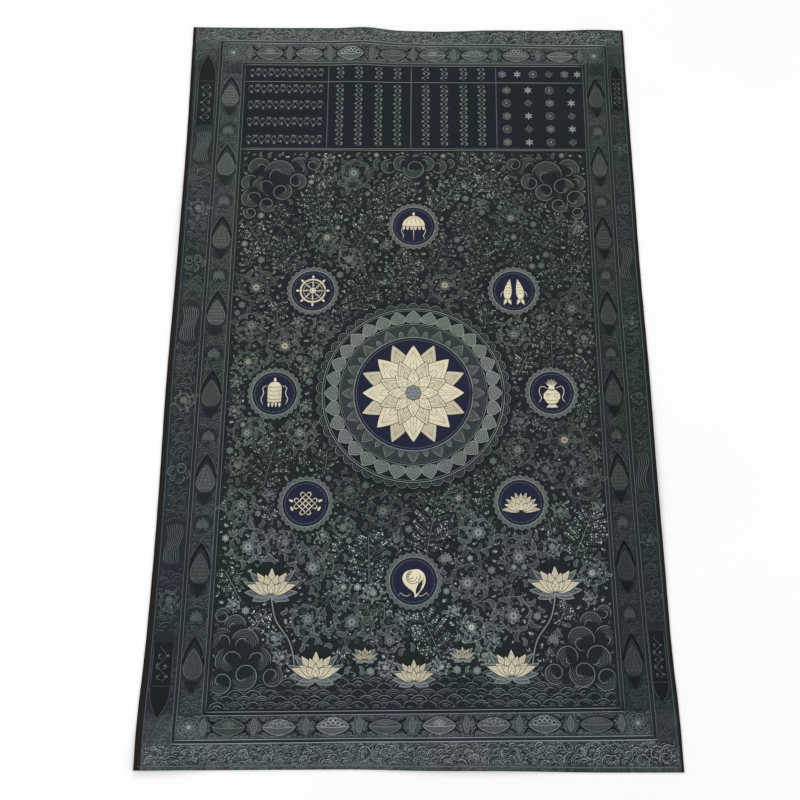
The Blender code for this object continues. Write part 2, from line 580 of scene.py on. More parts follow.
# Waving stem, 0.30 * height * sin(pi x / pitch), with a curl in every bay, leaflets on its back and a
# blossom or a leaf at its heart.
def vine(length, height, pitch, tone=1):
    x = np.linspace(0, length, int(length / 1.8) + 2)
    sway = 0.30 * height
    work = line(columns(x, sway * np.sin(pi * x / pitch)), 0.65, 0, 0.8 * tone)
    for k in range(int(length / pitch)):
        side = -1 if k % 2 else 1
        at, low, reach = (k + 0.5) * pitch, -0.2 * side * height, 0.25 * height
        work += line(spiralLine(at, low, reach, reach * 0.35, side * 2.4, side * tau * 0.85), 0.6, 0, tone)
        for lean in (-1, -0.35, 0.35, 1):
            grown = leaflet(0.27 * height, tone * (1.15 - 0.4 * abs(lean)), 1.2)
            work += moved(grown, at + 0.1 * lean * pitch, side * sway, pi / 2 * (1 + side) + lean)
        blossom, leaf = smallBlossom(0.13 * height, 5, "pale", 1.2 * tone), leaflet(0.2 * height, 1.1 * tone)
        work += moved(blossom if k % 2 else leaf, at, low)
    return work


# Distance from each grid point to the nearest of some drawn points, stepped outwards over the grid.
def roomAround(points, gridX, gridY, pitch):
    room = np.full(gridX.shape, 30.0)
    column, row = (
        np.rint((points[:, k] - grid[0, 0]) / pitch).astype(int).clip(0, room.shape[1 - k] - 1)
        for k, grid in enumerate((gridX, gridY))
    )
    room[row, column] = 0
    for step in range(8):
        for down, right in ((0, 1), (1, 0), (1, 1), (1, -1)):
            for way in (1, -1):
                near = np.roll(room, (way * down, way * right), (0, 1)) + pitch * hypot(down, right)
                room = np.minimum(room, near)
    return room


# Circles packed against each other. The room at a point is its distance to the nearest wall, blocked disc,
# drawn point or circle. Each new circle goes where that room just fits it. Gives x, y, radius and parent,
# which is the number of the nearest earlier circle, or -1 if none is near.
def packCircles(box, blocked, sizes, seed, gap=0.5, slack=1.3, pitch=1.6, points=None):
    rng = np.random.default_rng(seed)
    x0, y0, x1, y1 = box
    gridX, gridY = np.meshgrid(np.arange(x0, x1, pitch), np.arange(y0, y1, pitch))
    room = np.minimum.reduce([gridX - x0, x1 - gridX, gridY - y0, y1 - gridY])
    if points is not None:
        room = np.minimum(room, roomAround(points, gridX, gridY, pitch))
    for x, y, radius in blocked:
        room = np.minimum(room, np.hypot(gridX - x, gridY - y) - radius)
    circles = []
    for size in sizes:
        spots = np.flatnonzero((room >= size) & (room < size + slack))
        while len(spots):
            pick = spots[rng.integers(len(spots))]
            x, y = gridX.flat[pick], gridY.flat[pick]
            parent = -1
            if circles:
                earlier = np.array(circles)
                away = np.hypot(earlier[:, 0] - x, earlier[:, 1] - y) - earlier[:, 2] - size
                parent = int(np.argmin(away)) if away.min() < 2.6 * slack else -1
            circles.append((x, y, size, parent))
            nearX = (abs(gridX[0] - x) < 3 * size + 9).nonzero()[0]
            nearY = (abs(gridY[:, 0] - y) < 3 * size + 9).nonzero()[0]
            part = np.s_[nearY[0] : nearY[-1] + 1, nearX[0] : nearX[-1] + 1]
            room[part] = np.minimum(room[part], np.hypot(gridX[part] - x, gridY[part] - y) - size - gap)
            spots = spots[room.flat[spots] >= size]
    return circles


rod = {"rise": 0.24, "sunk": 0.06, "taper": 2.4, "least": 0.4}


# Every line as a low rod of three sides with tapered, closed ends: two feet in the cloth and a crest above.
# Half width = width / 2 * (least + (1 - least) * (distance to the nearer end / taper)**0.5).
def makeThreads(name, work, yarn):
    counts = np.array([len(item[2]) for item in work])
    flat = np.concatenate([item[2] for item in work])
    owner = np.repeat(np.arange(len(work)), counts)
    width, level, tone = (np.array([item[k] for item in work], float)[owner] for k in (3, 4, 5))
    first, last = (np.cumsum(counts) - counts)[owner], (np.cumsum(counts) - 1)[owner]
    index = np.arange(len(flat))
    before = flat[np.maximum(index - 1, first)]
    along = flat[np.minimum(index + 1, last)] - before
    along /= np.maximum(np.linalg.norm(along, axis=1, keepdims=True), 1e-9)
    run = np.cumsum(np.linalg.norm(flat - before, axis=1))  # length drawn so far
    toEnd = np.minimum(run - run[first], run[last] - run)
    slim = rod["least"] + (1 - rod["least"]) * np.sqrt(np.clip(toEnd / rod["taper"], 0, 1))
    side = columns(-along[:, 1], along[:, 0]) * (width / 2 * slim)[:, None]
    feet = level - rod["sunk"]
    crest = level + rod["rise"] * np.minimum(1, width / 0.6)
    strips = np.stack([flat - side, flat, flat + side], 1)
    places = onCloth(strips, np.stack([feet, crest, feet], 1)).reshape(-1, 3)
    here = index[index != last][:, None] * 3
    upper = np.concatenate([here + [0, 1, 4, 3], here + [1, 2, 5, 4]])
    starts, ends = (np.unique(end)[:, None] * 3 for end in (first, last))
    caps = np.concatenate([starts + [0, 2, 1], ends + [0, 1, 2]])
    sets = [(upper, False), (here + [2, 0, 3, 5], True), (caps, False)]
    makePiece(name, places, strips.reshape(-1, 2), sets, yarn, np.repeat(tone, 3))


# Triangles turned to face up (1) or down (-1). The drawing's second axis points down, so the cross product
# of two sides of a face that looks up is negative.
def facing(flat, faces, way):
    first, second = (flat[faces[:, k]] - flat[faces[:, 0]] for k in (1, 2))
    turn = first[:, 0] * second[:, 1] - first[:, 1] * second[:, 0]
    return np.where((turn * way > 0)[:, None], faces[:, ::-1], faces)


patch = {
    "rise": 0.12,
    "sunk": 0.06,
    "bevel": 0.3,
    "ringEvery": 8,
    "plain": 1.7,  # patches of a smaller reach have no rings: their rim runs straight up to the crown
}


# Every fill as a low closed patch: a rim sunk in the cloth, a bevel, shrinking rings and a crowned middle.
# Height over the cloth = level + rise + crown * (1 - share of the rim's distance squared).
def makeFills(name, work, yarn):
    places, flats, tones, tops, bottoms, order = [], [], [], [], [], []
    offset = 0
    for kind, thread, rim, crown, level, tone in work:
        middle = rim.mean(0)
        reach = np.linalg.norm(rim - middle, axis=1).mean()
        bevel = max(0.5, 1 - patch["bevel"] / reach)
        rings = 0 if reach < patch["plain"] else ceil(reach / patch["ringEvery"])
        share = np.concatenate([[1], bevel * (1 - np.arange(rings) / max(rings, 1))])
        rise = np.concatenate([[-patch["sunk"]], patch["rise"] + crown * (1 - share[1:] ** 2)])
        count = len(rim)
        flats += [(middle + (rim - middle) * share[:, None, None]).reshape(-1, 2), [middle, middle]]
        places += [np.repeat(level + rise, count), [level + patch["rise"] + crown, level - patch["sunk"]]]
        tones.append(np.full(count * len(share) + 2, tone))
        at = np.arange(count)
        ahead = (at + 1) % count
        inner = np.arange(len(share) - 1)[:, None] * count + offset
        first = np.stack([inner + at, inner + ahead, inner + ahead + count], -1).reshape(-1, 3)
        second = np.stack([inner + at, inner + ahead + count, inner + at + count], -1).reshape(-1, 3)
        apex = offset + len(share) * count
        hub = np.stack([apex - count + at, apex - count + ahead, np.full(count, apex)], 1)
        tops.append(np.concatenate([first, second, hub]))
        bottoms.append(np.stack([offset + at, offset + ahead, np.full(count, apex + 1)], 1))
        order.append(np.full(len(tops[-1]), level))
        offset = apex + 2
    flat = np.concatenate(flats)
    top = np.concatenate(tops)[np.argsort(np.concatenate(order), kind="stable")]
    sets = [(facing(flat, top, 1), False), (facing(flat, np.concatenate(bottoms), -1), True)]
    makePiece(name, onCloth(flat, np.concatenate(places)), flat, sets, yarn, np.concatenate(tones))


# The cloth: two equal grids, its face at rise 0 and its back at -thickness, and a rim that joins them.
def makeCloth():
    across, along = cloth["cells"]
    right, down = np.linspace(0, cloth["width"], across + 1), np.linspace(0, cloth["length"], along + 1)
    flat = columns(*(grid.ravel() for grid in np.meshgrid(right, down)))
    count = len(flat)
    places = np.concatenate([onCloth(flat, 0), onCloth(flat, -cloth["thickness"])])
    corner = (np.arange(along)[:, None] * (across + 1) + np.arange(across)).reshape(-1, 1)
    top, left = np.arange(across + 1), np.arange(along + 1) * (across + 1)
    rim = np.concatenate([top[:-1], left[:-1] + across, (top + along * (across + 1))[:0:-1], left[:0:-1]])
    ahead = np.roll(rim, -1)
    sets = [
        (corner + [0, across + 1, across + 2, 1], False),
        (corner + [0, 1, across + 2, across + 1] + count, True),
        (np.stack([rim, ahead, ahead + count, rim + count], 1), False),
    ]
    return makePiece("brocade_cloth", places, np.concatenate([flat, flat]), sets, "ground")


# Builds one node tree. Inputs are given by name or number, as a socket to link or a value to set.
class Net:
    def __init__(self, tree):
        self.tree = tree

    def feed(self, node, inputs):
        for key, value in inputs.items():
            if isinstance(value, bpy.types.NodeSocket):
                self.tree.links.new(value, node.inputs[key])
            else:
                node.inputs[key].default_value = value
        return node

    def put(self, kind, inputs=(), **settings):
        node = self.tree.nodes.new("ShaderNode" + kind)
        for key, value in settings.items():
            setattr(node, key, value)
        return self.feed(node, dict(inputs))

    def calc(self, operation, *values, clamp=False):
        return self.put("Math", enumerate(values), operation=operation, use_clamp=clamp).outputs[0]

    def times(self, first, second):
        return self.calc("MULTIPLY", first, second)

    def plus(self, first, second):
        return self.calc("ADD", first, second)

    def minus(self, first, second):
        return self.calc("SUBTRACT", first, second)

    # value * slope + base
    def fit(self, value, slope, base):
        return self.calc("MULTIPLY_ADD", value, slope, base)

    # 0 below low, 1 above high, smooth between.
    def ease(self, value, low, high):
        inputs = {"Value": value, "From Min": low, "From Max": high}
        return self.put("MapRange", inputs, interpolation_type="SMOOTHSTEP").outputs["Result"]

    # 1 beyond both ends of a stretch, 0 inside it: the inner, then the outer end of each slope.
    def ends(self, value, firstIn, firstOut, lastIn, lastOut):
        return self.calc("MAXIMUM", self.ease(value, firstIn, firstOut), self.ease(value, lastIn, lastOut))

    def blend(self, share, first, second):
        return self.put("Mix", {0: share, 6: first, 7: second}, data_type="RGBA").outputs[2]

    def shade(self, colour, amount):
        return self.put("VectorMath", {0: colour, "Scale": amount}, operation="SCALE").outputs[0]

    def noise(self, place, size, detail, **more):
        inputs = {"Vector": place, "Scale": size, "Detail": detail, **more}
        return self.put("TexNoise", inputs).outputs["Fac"]

    def split(self, vector):
        return self.put("SeparateXYZ", {"Vector": vector}).outputs[:2]

    def use(self, group, inputs):
        return self.put("Group", inputs, node_tree=groups[group]).outputs

    def bump(self, height, strength, distance):
        inputs = {"Height": height, "Strength": strength, "Distance": distance}
        return self.put("Bump", inputs).outputs["Normal"]


# A node group. build(net, given) returns the value of each output by its name.
def newGroup(name, inputs, outputs, build):
    kinds = {"Vector": "NodeSocketVector", "Color": "NodeSocketColor"}
    tree = bpy.data.node_groups.new(name, "ShaderNodeTree")
    for label, value in inputs.items():
        kind = kinds.get(label, "NodeSocketFloat")
        socket = tree.interface.new_socket(label, in_out="INPUT", socket_type=kind)
        if value is not None:
            socket.default_value = value
    for label in outputs:
        tree.interface.new_socket(label, in_out="OUTPUT", socket_type=kinds.get(label, "NodeSocketFloat"))
    given, made = tree.nodes.new("NodeGroupInput"), tree.nodes.new("NodeGroupOutput")
    net = Net(tree)
    net.feed(made, build(net, given.outputs))
    return tree


# Weave: yarns side by side along one axis, each a half round, dipping where the cross yarn holds it down.
# Height = sin(pi * place across the yarn) * (1 - 0.7 * dip). Dips are eight cross yarns apart, and those of
# one yarn lie three below its neighbour's, as in an eight-shaft satin.
def satinWeave(net, given):
    x, y = net.split(given["Vector"])
    u, v = net.times(x, given["Across"]), net.times(y, given["Along"])
    order = net.calc("FLOORED_MODULO", net.fit(net.calc("FLOOR", u), 3, net.calc("FLOOR", v)), 8)
    dip = net.calc("LESS_THAN", order, 0.5)
    halfRound = net.calc("SINE", net.times(net.calc("FRACT", u), pi))
    return {"Height": net.times(halfRound, net.fit(dip, -0.7, 1)), "Dip": dip}


dyeTints = ((0.935, 1.03, 0.985, 1), (1.04, 0.98, 1.06, 1))  # greener and more violet


# Dye: the colour turned towards one tint or the other by wide clouds, and made lighter and darker by
# 1 + amount * (clouds + 0.7 * fine clouds + 0.6 * yarns across the cloth - 1.15).
def dyeVariation(net, given):
    at = given["Vector"]
    wide, fine = net.noise(at, 14, 3), net.noise(at, 420, 2)
    stretch = net.put("Mapping", {"Vector": at, "Scale": (3, 900, 3)}).outputs["Vector"]
    total = net.plus(net.plus(wide, net.times(fine, 0.7)), net.times(net.noise(stretch, 1, 1), 0.6))
    value = net.fit(net.minus(total, 1.15), given["Amount"], 1)
    hue = net.noise(at, 9, 3, Roughness=0.6)
    tint = net.blend(given["Tint"], (1, 1, 1, 1), net.blend(net.ease(hue, 0.40, 0.62), *dyeTints))
    tinted = net.put("VectorMath", {0: given["Color"], 1: tint}, operation="MULTIPLY").outputs[0]
    return {"Color": net.shade(tinted, value)}


# Fine woven curls, the level lines of a smooth noise: 1 where the fraction of noise * lines is near 0.5.
def fineCurls(net, given):
    level = net.noise(given["Vector"], given["Scale"], 1, Distortion=1.6)
    part = net.calc("FRACT", net.times(level, given["Lines"]))
    away = net.calc("ABSOLUTE", net.minus(part, 0.5))
    return {"Mask": net.minus(1, net.ease(away, 0.12, 0.30))}


# 1 inside a frame given in mm, 0 outside it.
def insideFrame(net, given):
    x, y = net.split(given["Vector"])
    masks = [
        net.times(net.calc("GREATER_THAN", at, given[low]), net.calc("LESS_THAN", at, given[high]))
        for at, low, high in ((x, "Left", "Right"), (y, "Top", "Bottom"))
    ]
    return {"Mask": net.times(*masks)}


frameSides = ("Left", "Right", "Top", "Bottom")
groups = {
    "weave": newGroup(
        "satinWeave", {"Vector": None, "Across": 2600, "Along": 1500}, ("Height", "Dip"), satinWeave
    ),
    "dye": newGroup(
        "dyeVariation", {"Vector": None, "Color": None, "Amount": 0.3, "Tint": 1}, ("Color",), dyeVariation
    ),
    "curls": newGroup("fineCurls", {"Vector": None, "Scale": 0.16, "Lines": 7}, ("Mask",), fineCurls),
    "frame": newGroup(
        "insideFrame", {"Vector": None, **dict.fromkeys(frameSides, 0)}, ("Mask",), insideFrame
    ),
}


# A new material, the builder of its nodes, and its shader.
def startMaterial(name):
    material = bpy.data.materials.new(name)
    material.use_nodes = True
    return material, Net(material.node_tree), material.node_tree.nodes["Principled BSDF"]


# Flat place on the cloth in mm, read from the piece's own map, and the place on the object.
def clothPlace(net):
    x, y = net.split(net.put("UVMap", uv_map=bakeMap["name"]).outputs["UV"])
    right, down = net.times(x, bakeMap["unit"]), net.fit(y, -bakeMap["unit"], bakeMap["unit"])
    place = net.put("CombineXYZ", {"X": right, "Y": down}).outputs["Vector"]
    return place, right, down, net.put("TexCoord").outputs["Object"]


# Where the ruled lines of the layout lie: left, right, top, bottom. Tones are in the same order.
layout = {
    "outerRule": (38, 525, 22.5, 873.5),
    "innerRule": (64.8, 495, 54, 843),
    "outerTones": (0.50, 0.42, 1.15, 1.30),
    "innerTones": (0.52, 0.48, 0.85, 0.98),
    "outerGaps": (1.4, 1.4, 2.8, 1.6),  # tones of the dark line between a pair of rules
    "innerGaps": (1.6, 1.6, 2.2, 1),
    "ruleGap": 3.7,
    "tableFoot": 178.8,
    "headRule": 80.9,
    "dividers": ((172.2, 0.46), (276.2, 0.62), (382.9, 0.46)),  # x and tone
    "edgeLines": (  # width, tone, ends
        (0.8, 0.45, (7.5, 4, 7.5, 896)),
        (0.8, 0.45, (545.5, 4, 545.5, 896)),
        (0.9, 0.55, (4, 896.3, 546, 896.3)),
    ),
}

ground = {
    "greenBlack": (0.0140, 0.0195, 0.0195, 1),
    "blueBlack": (0.0150, 0.0180, 0.0260, 1),
    "selvage": (0.0150, 0.0140, 0.0120, 1),
    # figure and lowFigure: upper and lower colours of the figure; the upper one is lighter and greener with
    # painted sheen
    "figure": (0.1150, 0.1300, 0.1210, 1),
    "lowFigure": (0.1050, 0.1220, 0.1240, 1),
    "under": (0.0500, 0.0540, 0.0540, 1),
    "innerFigure": 0.31,  # how strongly the bands are figured: inner and outer at the sides
    "outerFigure": 0.24,
    "sideFade": (180, 480, -0.65),  # from, to, and the share that is lost down the sides
    "rightFade": (250, 540, -0.45),
    "endFigure": 0.72,  # at the top and bottom: the inner bands, then the outer ones
    "endPlaces": (62, 44, 838, 856),  # heights where it is none and full above, then below
    # the outer bands at the top and bottom are figured more strongly, partly for their denser figure and
    # partly as painted sheen
    "rimFigure": 1.35,
    "rimPlaces": (26, 20, 870, 877),
    "fieldFigure": 0.10,
    "curls": {"Scale": 0.13, "Lines": 6},
    "fieldDepth": 0.42,  # how much darker the grounds of the field and the table are
    "tableDepth": 0.18,
    "tableEnd": 178,
    "tableBlue": 0.20,
    "blueFade": (540, 400),
    "topSheenFade": (380, 760),  # yarns change from their upper colour, lighter and greener with painted sheen, to the lower one over this stretch
    "selvageLeft": (0.0035, 4),  # slope and start of its width
    "selvageRight": 547.4,
    "underFrom": 0.615,  # share of the map beyond which the underside lies
    "roughness": 0.55,
    "specular": 0.06,
}


# Ground: a dark cloth with fine curls woven into its bands and faintly into the field, each part marked out
# by the layout's frames, with plain selvages and a plain underside.
def groundMaterial():
    material, net, shader = startMaterial("brocadeGround")
    place, right, down, own = clothPlace(net)
    frames = layout["outerRule"], layout["innerRule"], (*layout["innerRule"][:3], ground["tableEnd"])
    outer, inner, tableFrame = (
        net.use("frame", {"Vector": place, **dict(zip(frameSides, edges))})["Mask"] for edges in frames
    )
    rim, bands = net.minus(1, outer), net.minus(1, inner)
    strength = net.fit(rim, ground["outerFigure"] - ground["innerFigure"], ground["innerFigure"])
    fadeFrom, fadeTo, lost = ground["sideFade"]
    strength = net.times(strength, net.fit(net.ease(down, fadeFrom, fadeTo), lost, 1))
    # Stronger figure at the top and bottom; in the outer bands this is partly painted sheen.
    for name in ("end", "rim"):
        share = net.ends(down, *ground[name + "Places"])
        strength = net.plus(strength, net.times(share, net.minus(ground[name + "Figure"], strength)))
    fadeFrom, fadeTo, lost = ground["rightFade"]
    band = net.times(net.times(bands, strength), net.fit(net.ease(right, fadeFrom, fadeTo), lost, 1))
    uneven = net.ease(net.noise(place, 0.035, 2), 0.30, 0.62)
    band = net.times(band, net.fit(uneven, 0.6, 0.5))
    picture = net.minus(inner, tableFrame)
    band = net.fit(picture, ground["fieldFigure"], band)
    curls = net.use("curls", {"Vector": place, **ground["curls"]})["Mask"]
    selvageLeft = net.calc("LESS_THAN", right, net.fit(down, *ground["selvageLeft"]))
    selvage = net.calc("MAXIMUM", selvageLeft, net.calc("GREATER_THAN", right, ground["selvageRight"]))
    figured = net.times(band, net.fit(curls, 0.8, 0.2))
    figured = net.calc("MULTIPLY", figured, net.minus(1, selvage), clamp=True)
    cloudy = net.ease(net.noise(place, 0.011, 3), 0.42, 0.62)
    blue = net.calc("ADD", cloudy, net.times(tableFrame, ground["tableBlue"]), clamp=True)
    blue = net.times(blue, net.ease(right, *ground["blueFade"]))
    darker = net.fit(picture, -ground["fieldDepth"], net.fit(tableFrame, -ground["tableDepth"], 1))
    base = net.shade(net.blend(blue, ground["greenBlack"], ground["blueBlack"]), darker)
    # The figure turns from its upper colour, lighter and greener with painted sheen, to the lower one down
    # the cloth.
    tint = net.blend(net.ease(down, *ground["topSheenFade"]), ground["figure"], ground["lowFigure"])
    colour = net.blend(selvage, net.blend(figured, base, tint), ground["selvage"])
    colour = net.use("dye", {"Vector": own, "Color": colour, "Amount": 0.35})["Color"]
    under = net.calc("GREATER_THAN", right, bakeMap["unit"] * ground["underFrom"])
    weave = net.use("weave", {"Vector": own})
    net.feed(shader, {
        "Base Color": net.blend(under, colour, ground["under"]),
        "Roughness": net.fit(weave["Dip"], 0.2, ground["roughness"]),
        "Normal": net.bump(net.fit(figured, 1.6, weave["Height"]), 0.35, 0.00012),
        "Specular IOR Level": ground["specular"],
    })
    return material


yarns = {
    "pale": {
        "colours": ((0.270, 0.300, 0.275, 1), (0.240, 0.272, 0.276, 1)),  # upper, lighter and greener with painted sheen, and lower
        "roughness": 0.50,
        "specular": 0.15,
        "tint": 1,
    },
    "ivory": {
        "colours": ((0.740, 0.675, 0.480, 1), (0.740, 0.685, 0.500, 1)),
        "roughness": 0.48,
        "specular": 0.15,
        "tint": 0,
    },
    "navy": {
        "colours": ((0.0150, 0.0170, 0.0360, 1), (0.0150, 0.0160, 0.0400, 1)),
        "roughness": 0.50,
        "specular": 0.06,
        "tint": 0.5,
    },
    "dark": {
        "colours": ((0.0140, 0.0180, 0.0185, 1), (0.0140, 0.0165, 0.0210, 1)),
        "roughness": 0.55,
        "specular": 0.06,
        "tint": 1,
    },
}


# Yarn laid as floats across the cloth, its colour times the thread's own tone.
def yarnMaterial(name):
    yarn = yarns[name]
    material, net, shader = startMaterial(name + "Yarn")
    down, own = clothPlace(net)[2:]
    tone = net.put("Attribute", attribute_name="tone").outputs["Fac"]
    # The yarn's upper colour is lighter and greener with painted sheen, and fades to the lower one down the
    # cloth.
    base = net.shade(net.blend(net.ease(down, *ground["topSheenFade"]), *yarn["colours"]), tone)
    dye = net.use("dye", {"Vector": own, "Color": base, "Amount": 0.40, "Tint": yarn["tint"]})
    swapped = net.put("Mapping", {"Vector": own, "Rotation": (0, 0, pi / 2)}).outputs["Vector"]
    weave = net.use("weave", {"Vector": swapped, "Across": 2400, "Along": 900})
    net.feed(shader, {
        "Base Color": dye["Color"],
        "Roughness": net.fit(weave["Dip"], 0.15, yarn["roughness"]),
        "Normal": net.bump(weave["Height"], 0.4, 0.0001),
        "Specular IOR Level": yarn["specular"],
    })
    return material


materials = {name: yarnMaterial(name) for name in yarns}
materials["ground"] = groundMaterial()
print("materials ready")


# Splits a zone's work by yarn and kind and makes one piece of each.
def makeWork(zone, work):
    for yarn in yarns:
        for kind, label, maker in (("line", "threads", makeThreads), ("fill", "patches", makeFills)):
            chosen = [item for item in work if item[:2] == (kind, yarn)]
            if chosen:
                maker(f"{zone}_{yarn}_{label}", chosen, yarn)


clothPiece = makeCloth()
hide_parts("thangka_cloth")


# Two pale rules with a dark line between them, on the four sides of a frame.
def doubleRule(edges, tones, gapTones):
    left, right, top, bottom = edges
    gap, work = layout["ruleGap"], []
    pair = [(out, "pale", 0.95, tones) for out in (-gap / 2, gap / 2)]
    for out, yarn, width, shades in [(0, "dark", gap - 0.7, gapTones), *pair]:
        x0, x1, y0, y1 = left + out, right - out, top + out, bottom - out
        rules = (x0, y1, x0, y0), (x1, y0, x1, y1), (x0, y0, x1, y0), (x1, y1, x0, y1)
        for ends, tone in zip(rules, shades):
            work += line(ruleLine(*ends), width, 0.02, tone, yarn)
    return work


# Both double frames, the table's rules, and the lines along the cloth's edges.
def layoutRules():
    left, right, top = layout["innerRule"][:3]
    foot, inner = layout["tableFoot"], layout["ruleGap"] / 2
    work = []
    for name in ("outer", "inner"):
        work += doubleRule(layout[name + "Rule"], layout[name + "Tones"], layout[name + "Gaps"])
    for y, tone in ((foot - 1, 0.55), (foot + 1, 0.62), (layout["headRule"], 0.66)):
        work += line(ruleLine(left + inner, y, right - inner, y), 1.2, 0, tone)
    for x, tone in layout["dividers"]:
        work += line(ruleLine(x, top + inner, x, foot - 1), 1.2, 0, tone)
    for width, tone, ends in layout["edgeLines"]:
        work += line(ruleLine(*ends), width, 0, tone)
    return work


# Bands across the top and bottom: eight lotus bowls between dark crosses, a spindle between each two.
bowls = {
    "rows": (38.3, 857.6),  # y of each band, then x and tone of its bowls
    "middles": (
        (96.8, 147, 199.1, 252.8, 303.1, 356.5, 409.2, 464.8),
        (91.1, 142.3, 197.2, 250.7, 305.8, 361.5, 413.7, 466.9),
    ),
    "tones": ((0.9, 1, 1.2, 0.85, 1, 1, 1, 1.15), (0.65, 1.2, 1.3, 0.8, 1.25, 1.05, 1.05, 0.7)),
    "length": 34,
    "height": 18.5,
    "domes": (0.95, 0.80, 1, 0.70),  # height of each kind's dome, as a share
    "cornerPlaces": (52, 509),
    "box": (40.5, -13.4, 522.5, 13.2),  # y from the row
    "seed": 60,
}


# Bowl from the side: a ribbed keel under its brim, and above it a dome of petals, jewels, seeds or arches.
# With u from -1 to 1 across it, keel = tall * (1 - u**2)**0.8, and dome = tall * share * (1 - |u|**1.8) with
# seven small scallops.
def lotusBowl(kind):
    half, tall = bowls["length"] / 2, bowls["height"] / 2
    u = np.linspace(-1, 1, 19)
    keel = columns(u * half, tall * (1 - u**2) ** 0.8)
    dome = columns(u * half, -tall * bowls["domes"][kind] * (1 - np.abs(u) ** 1.8))
    dome[:, 1] -= 0.9 * np.abs(np.sin(3.5 * pi * u))
    brim = columns(u * half, 1.6 * (1 - u**2))
    body = np.concatenate([keel[::-1], dome[1:-1]])
    work = fill(body * (1.16, 1.2), 0, 0.8, "dark") + fill(body, 0.04, 0.24)
    for mirror in ((-1, -1), (-1, 1), (1, -1), (1, 1)):
        arm = np.array([[13, 4], [18, 5.2], [22, 10.5]]) * mirror
        work += line(softLine(arm, 2.5), 3, 0.06, 0.8, "dark")
    work += line(keel, 0.9, 0.18) + line(dome, 0.8, 0.18, 0.95) + line(brim, 0.8, 0.2, 1.2)
    for part in np.linspace(-0.86, 0.86, 13):
        low = 0.84 * part
        top, foot = 2.2 * (1 - part**2) + 0.6, tall * (1 - low**2) ** 0.8 - 0.8
        work += line([[part * half * 0.98, top], [low * half, foot]], 0.65, 0.18, 0.95)
    if kind == 0:
        for turn in np.linspace(-1.1, 1.1, 5):
            work += moved(line(petalEdge(7.4, 4.6, 0.62, 5), 0.65, 0.2, 1.2), 0, 0.4, turn)
    elif kind == 1:
        for x, y in ((-8, -1.8), (0, -2.4), (8, -1.8), (-4, -4.8), (4, -4.8)):
            work += ring(2.3, 0.7, 0.2, 1.3, x=x, y=y) + disc(1.1, 0.12, 1, x=x, y=y)
    elif kind == 2:
        for x, y in ((-9.5, -1.6), (-5, -3), (0, -3.6), (5, -3), (9.5, -1.6), (-2.6, -6.4), (2.6, -6.4)):
            work += disc(1.5, 0.16, 0.9, "dark", x=x, y=y) + ring(2.3, 0.75, 0.2, 1.5, x=x, y=y)
    else:
        for share in (0.72, 0.46, 0.2):
            work += line(brim[2:-2] * (share, 0) + (dome[2:-2] * (0, share)), 0.65, 0.2)
    return work + line([[-4, tall + 1.2], [0, tall + 0.6], [4, tall + 1.2]], 0.8, 0.1)


# Upright spindle with a rib down its middle and four across.
def spindle(height=20):
    work = rimmed(petalEdge(height, 6.2, 1, 7), 0.08, 0.28, 0.65, 0.9, 0.12)
    work += line([[0, -0.15 * height], [0, -0.85 * height]], 0.6, 0.22, 1.1)
    for part in (0.28, 0.42, 0.58, 0.72):
        work += line(arcLine(0, -height * part, 2.1, 0.3, 2.8), 0.5, 0.22, 0.9)
    return moved(work, 0, height / 2)


# Bowls, spindles between them, a flower in each corner, and lobes in what is left of the band.
def bowlBands():
    work, corners, (x0, y0, x1, y1) = [], bowls["cornerPlaces"], bowls["box"]
    flower = openBlossom(8.6, 8, 0.85) + ring(10.2, 0.65, 0, 0.8) + smallBlossom(3, 6, "pale", 1.1, 0.15)
    for band, (y, middles, tones) in enumerate(zip(bowls["rows"], bowls["middles"], bowls["tones"])):
        gaps = (np.array(middles[1:]) + np.array(middles[:-1])) / 2
        gaps = (*gaps, middles[0] - 25.5, middles[-1] + 25.5)
        blocked = [(x + shift, y, 8.5) for x in middles for shift in (-9, 0, 9)]
        blocked += [(x, y + shift, 3.6) for x in gaps for shift in (-6.5, 0, 6.5)]
        blocked += [(x, y, 10.5) for x in corners]
        box = (x0, y + y0, x1, y + y1)
        work += lobeFill(box, 3.3, bowls["seed"] + band, 1.05, blocked, (1, 0.5), 0.65)
        for k, (x, tone) in enumerate(zip(middles, tones)):
            work += moved(lotusBowl(k % 4), x, y, tone=tone)
        work += scattered(spindle(), [(x, y) for x in gaps]) + scattered(flower, [(x, y) for x in corners])
    return work


# Side bands: an upright bud every pitch, under a dark roof and over a dark wedge, with palmettes between.
sideBands = {
    "middles": (51.4, 509.6),
    "first": 103,
    "pitch": 98.8,
    "count": 8,
    "box": (10.6, 12.6),  # reach to the left and right of the middle
    "lobes": ((4.6, 0.62, 70), (2.6, 0.5, 72)),  # radius, tone, seed
    "tones": ((1.34, 0.93), (0.86, 0.60)),  # each band's buds at the top and at the bottom
    "fade": ((100, 300, 840), (1.08, 0.94, 0.90)),
    "kept": ((-24, 5), (-12, 8.5), (-2, 10), (8, 10.5), (20, 7.5)),  # discs a bud keeps free: y, radius
}


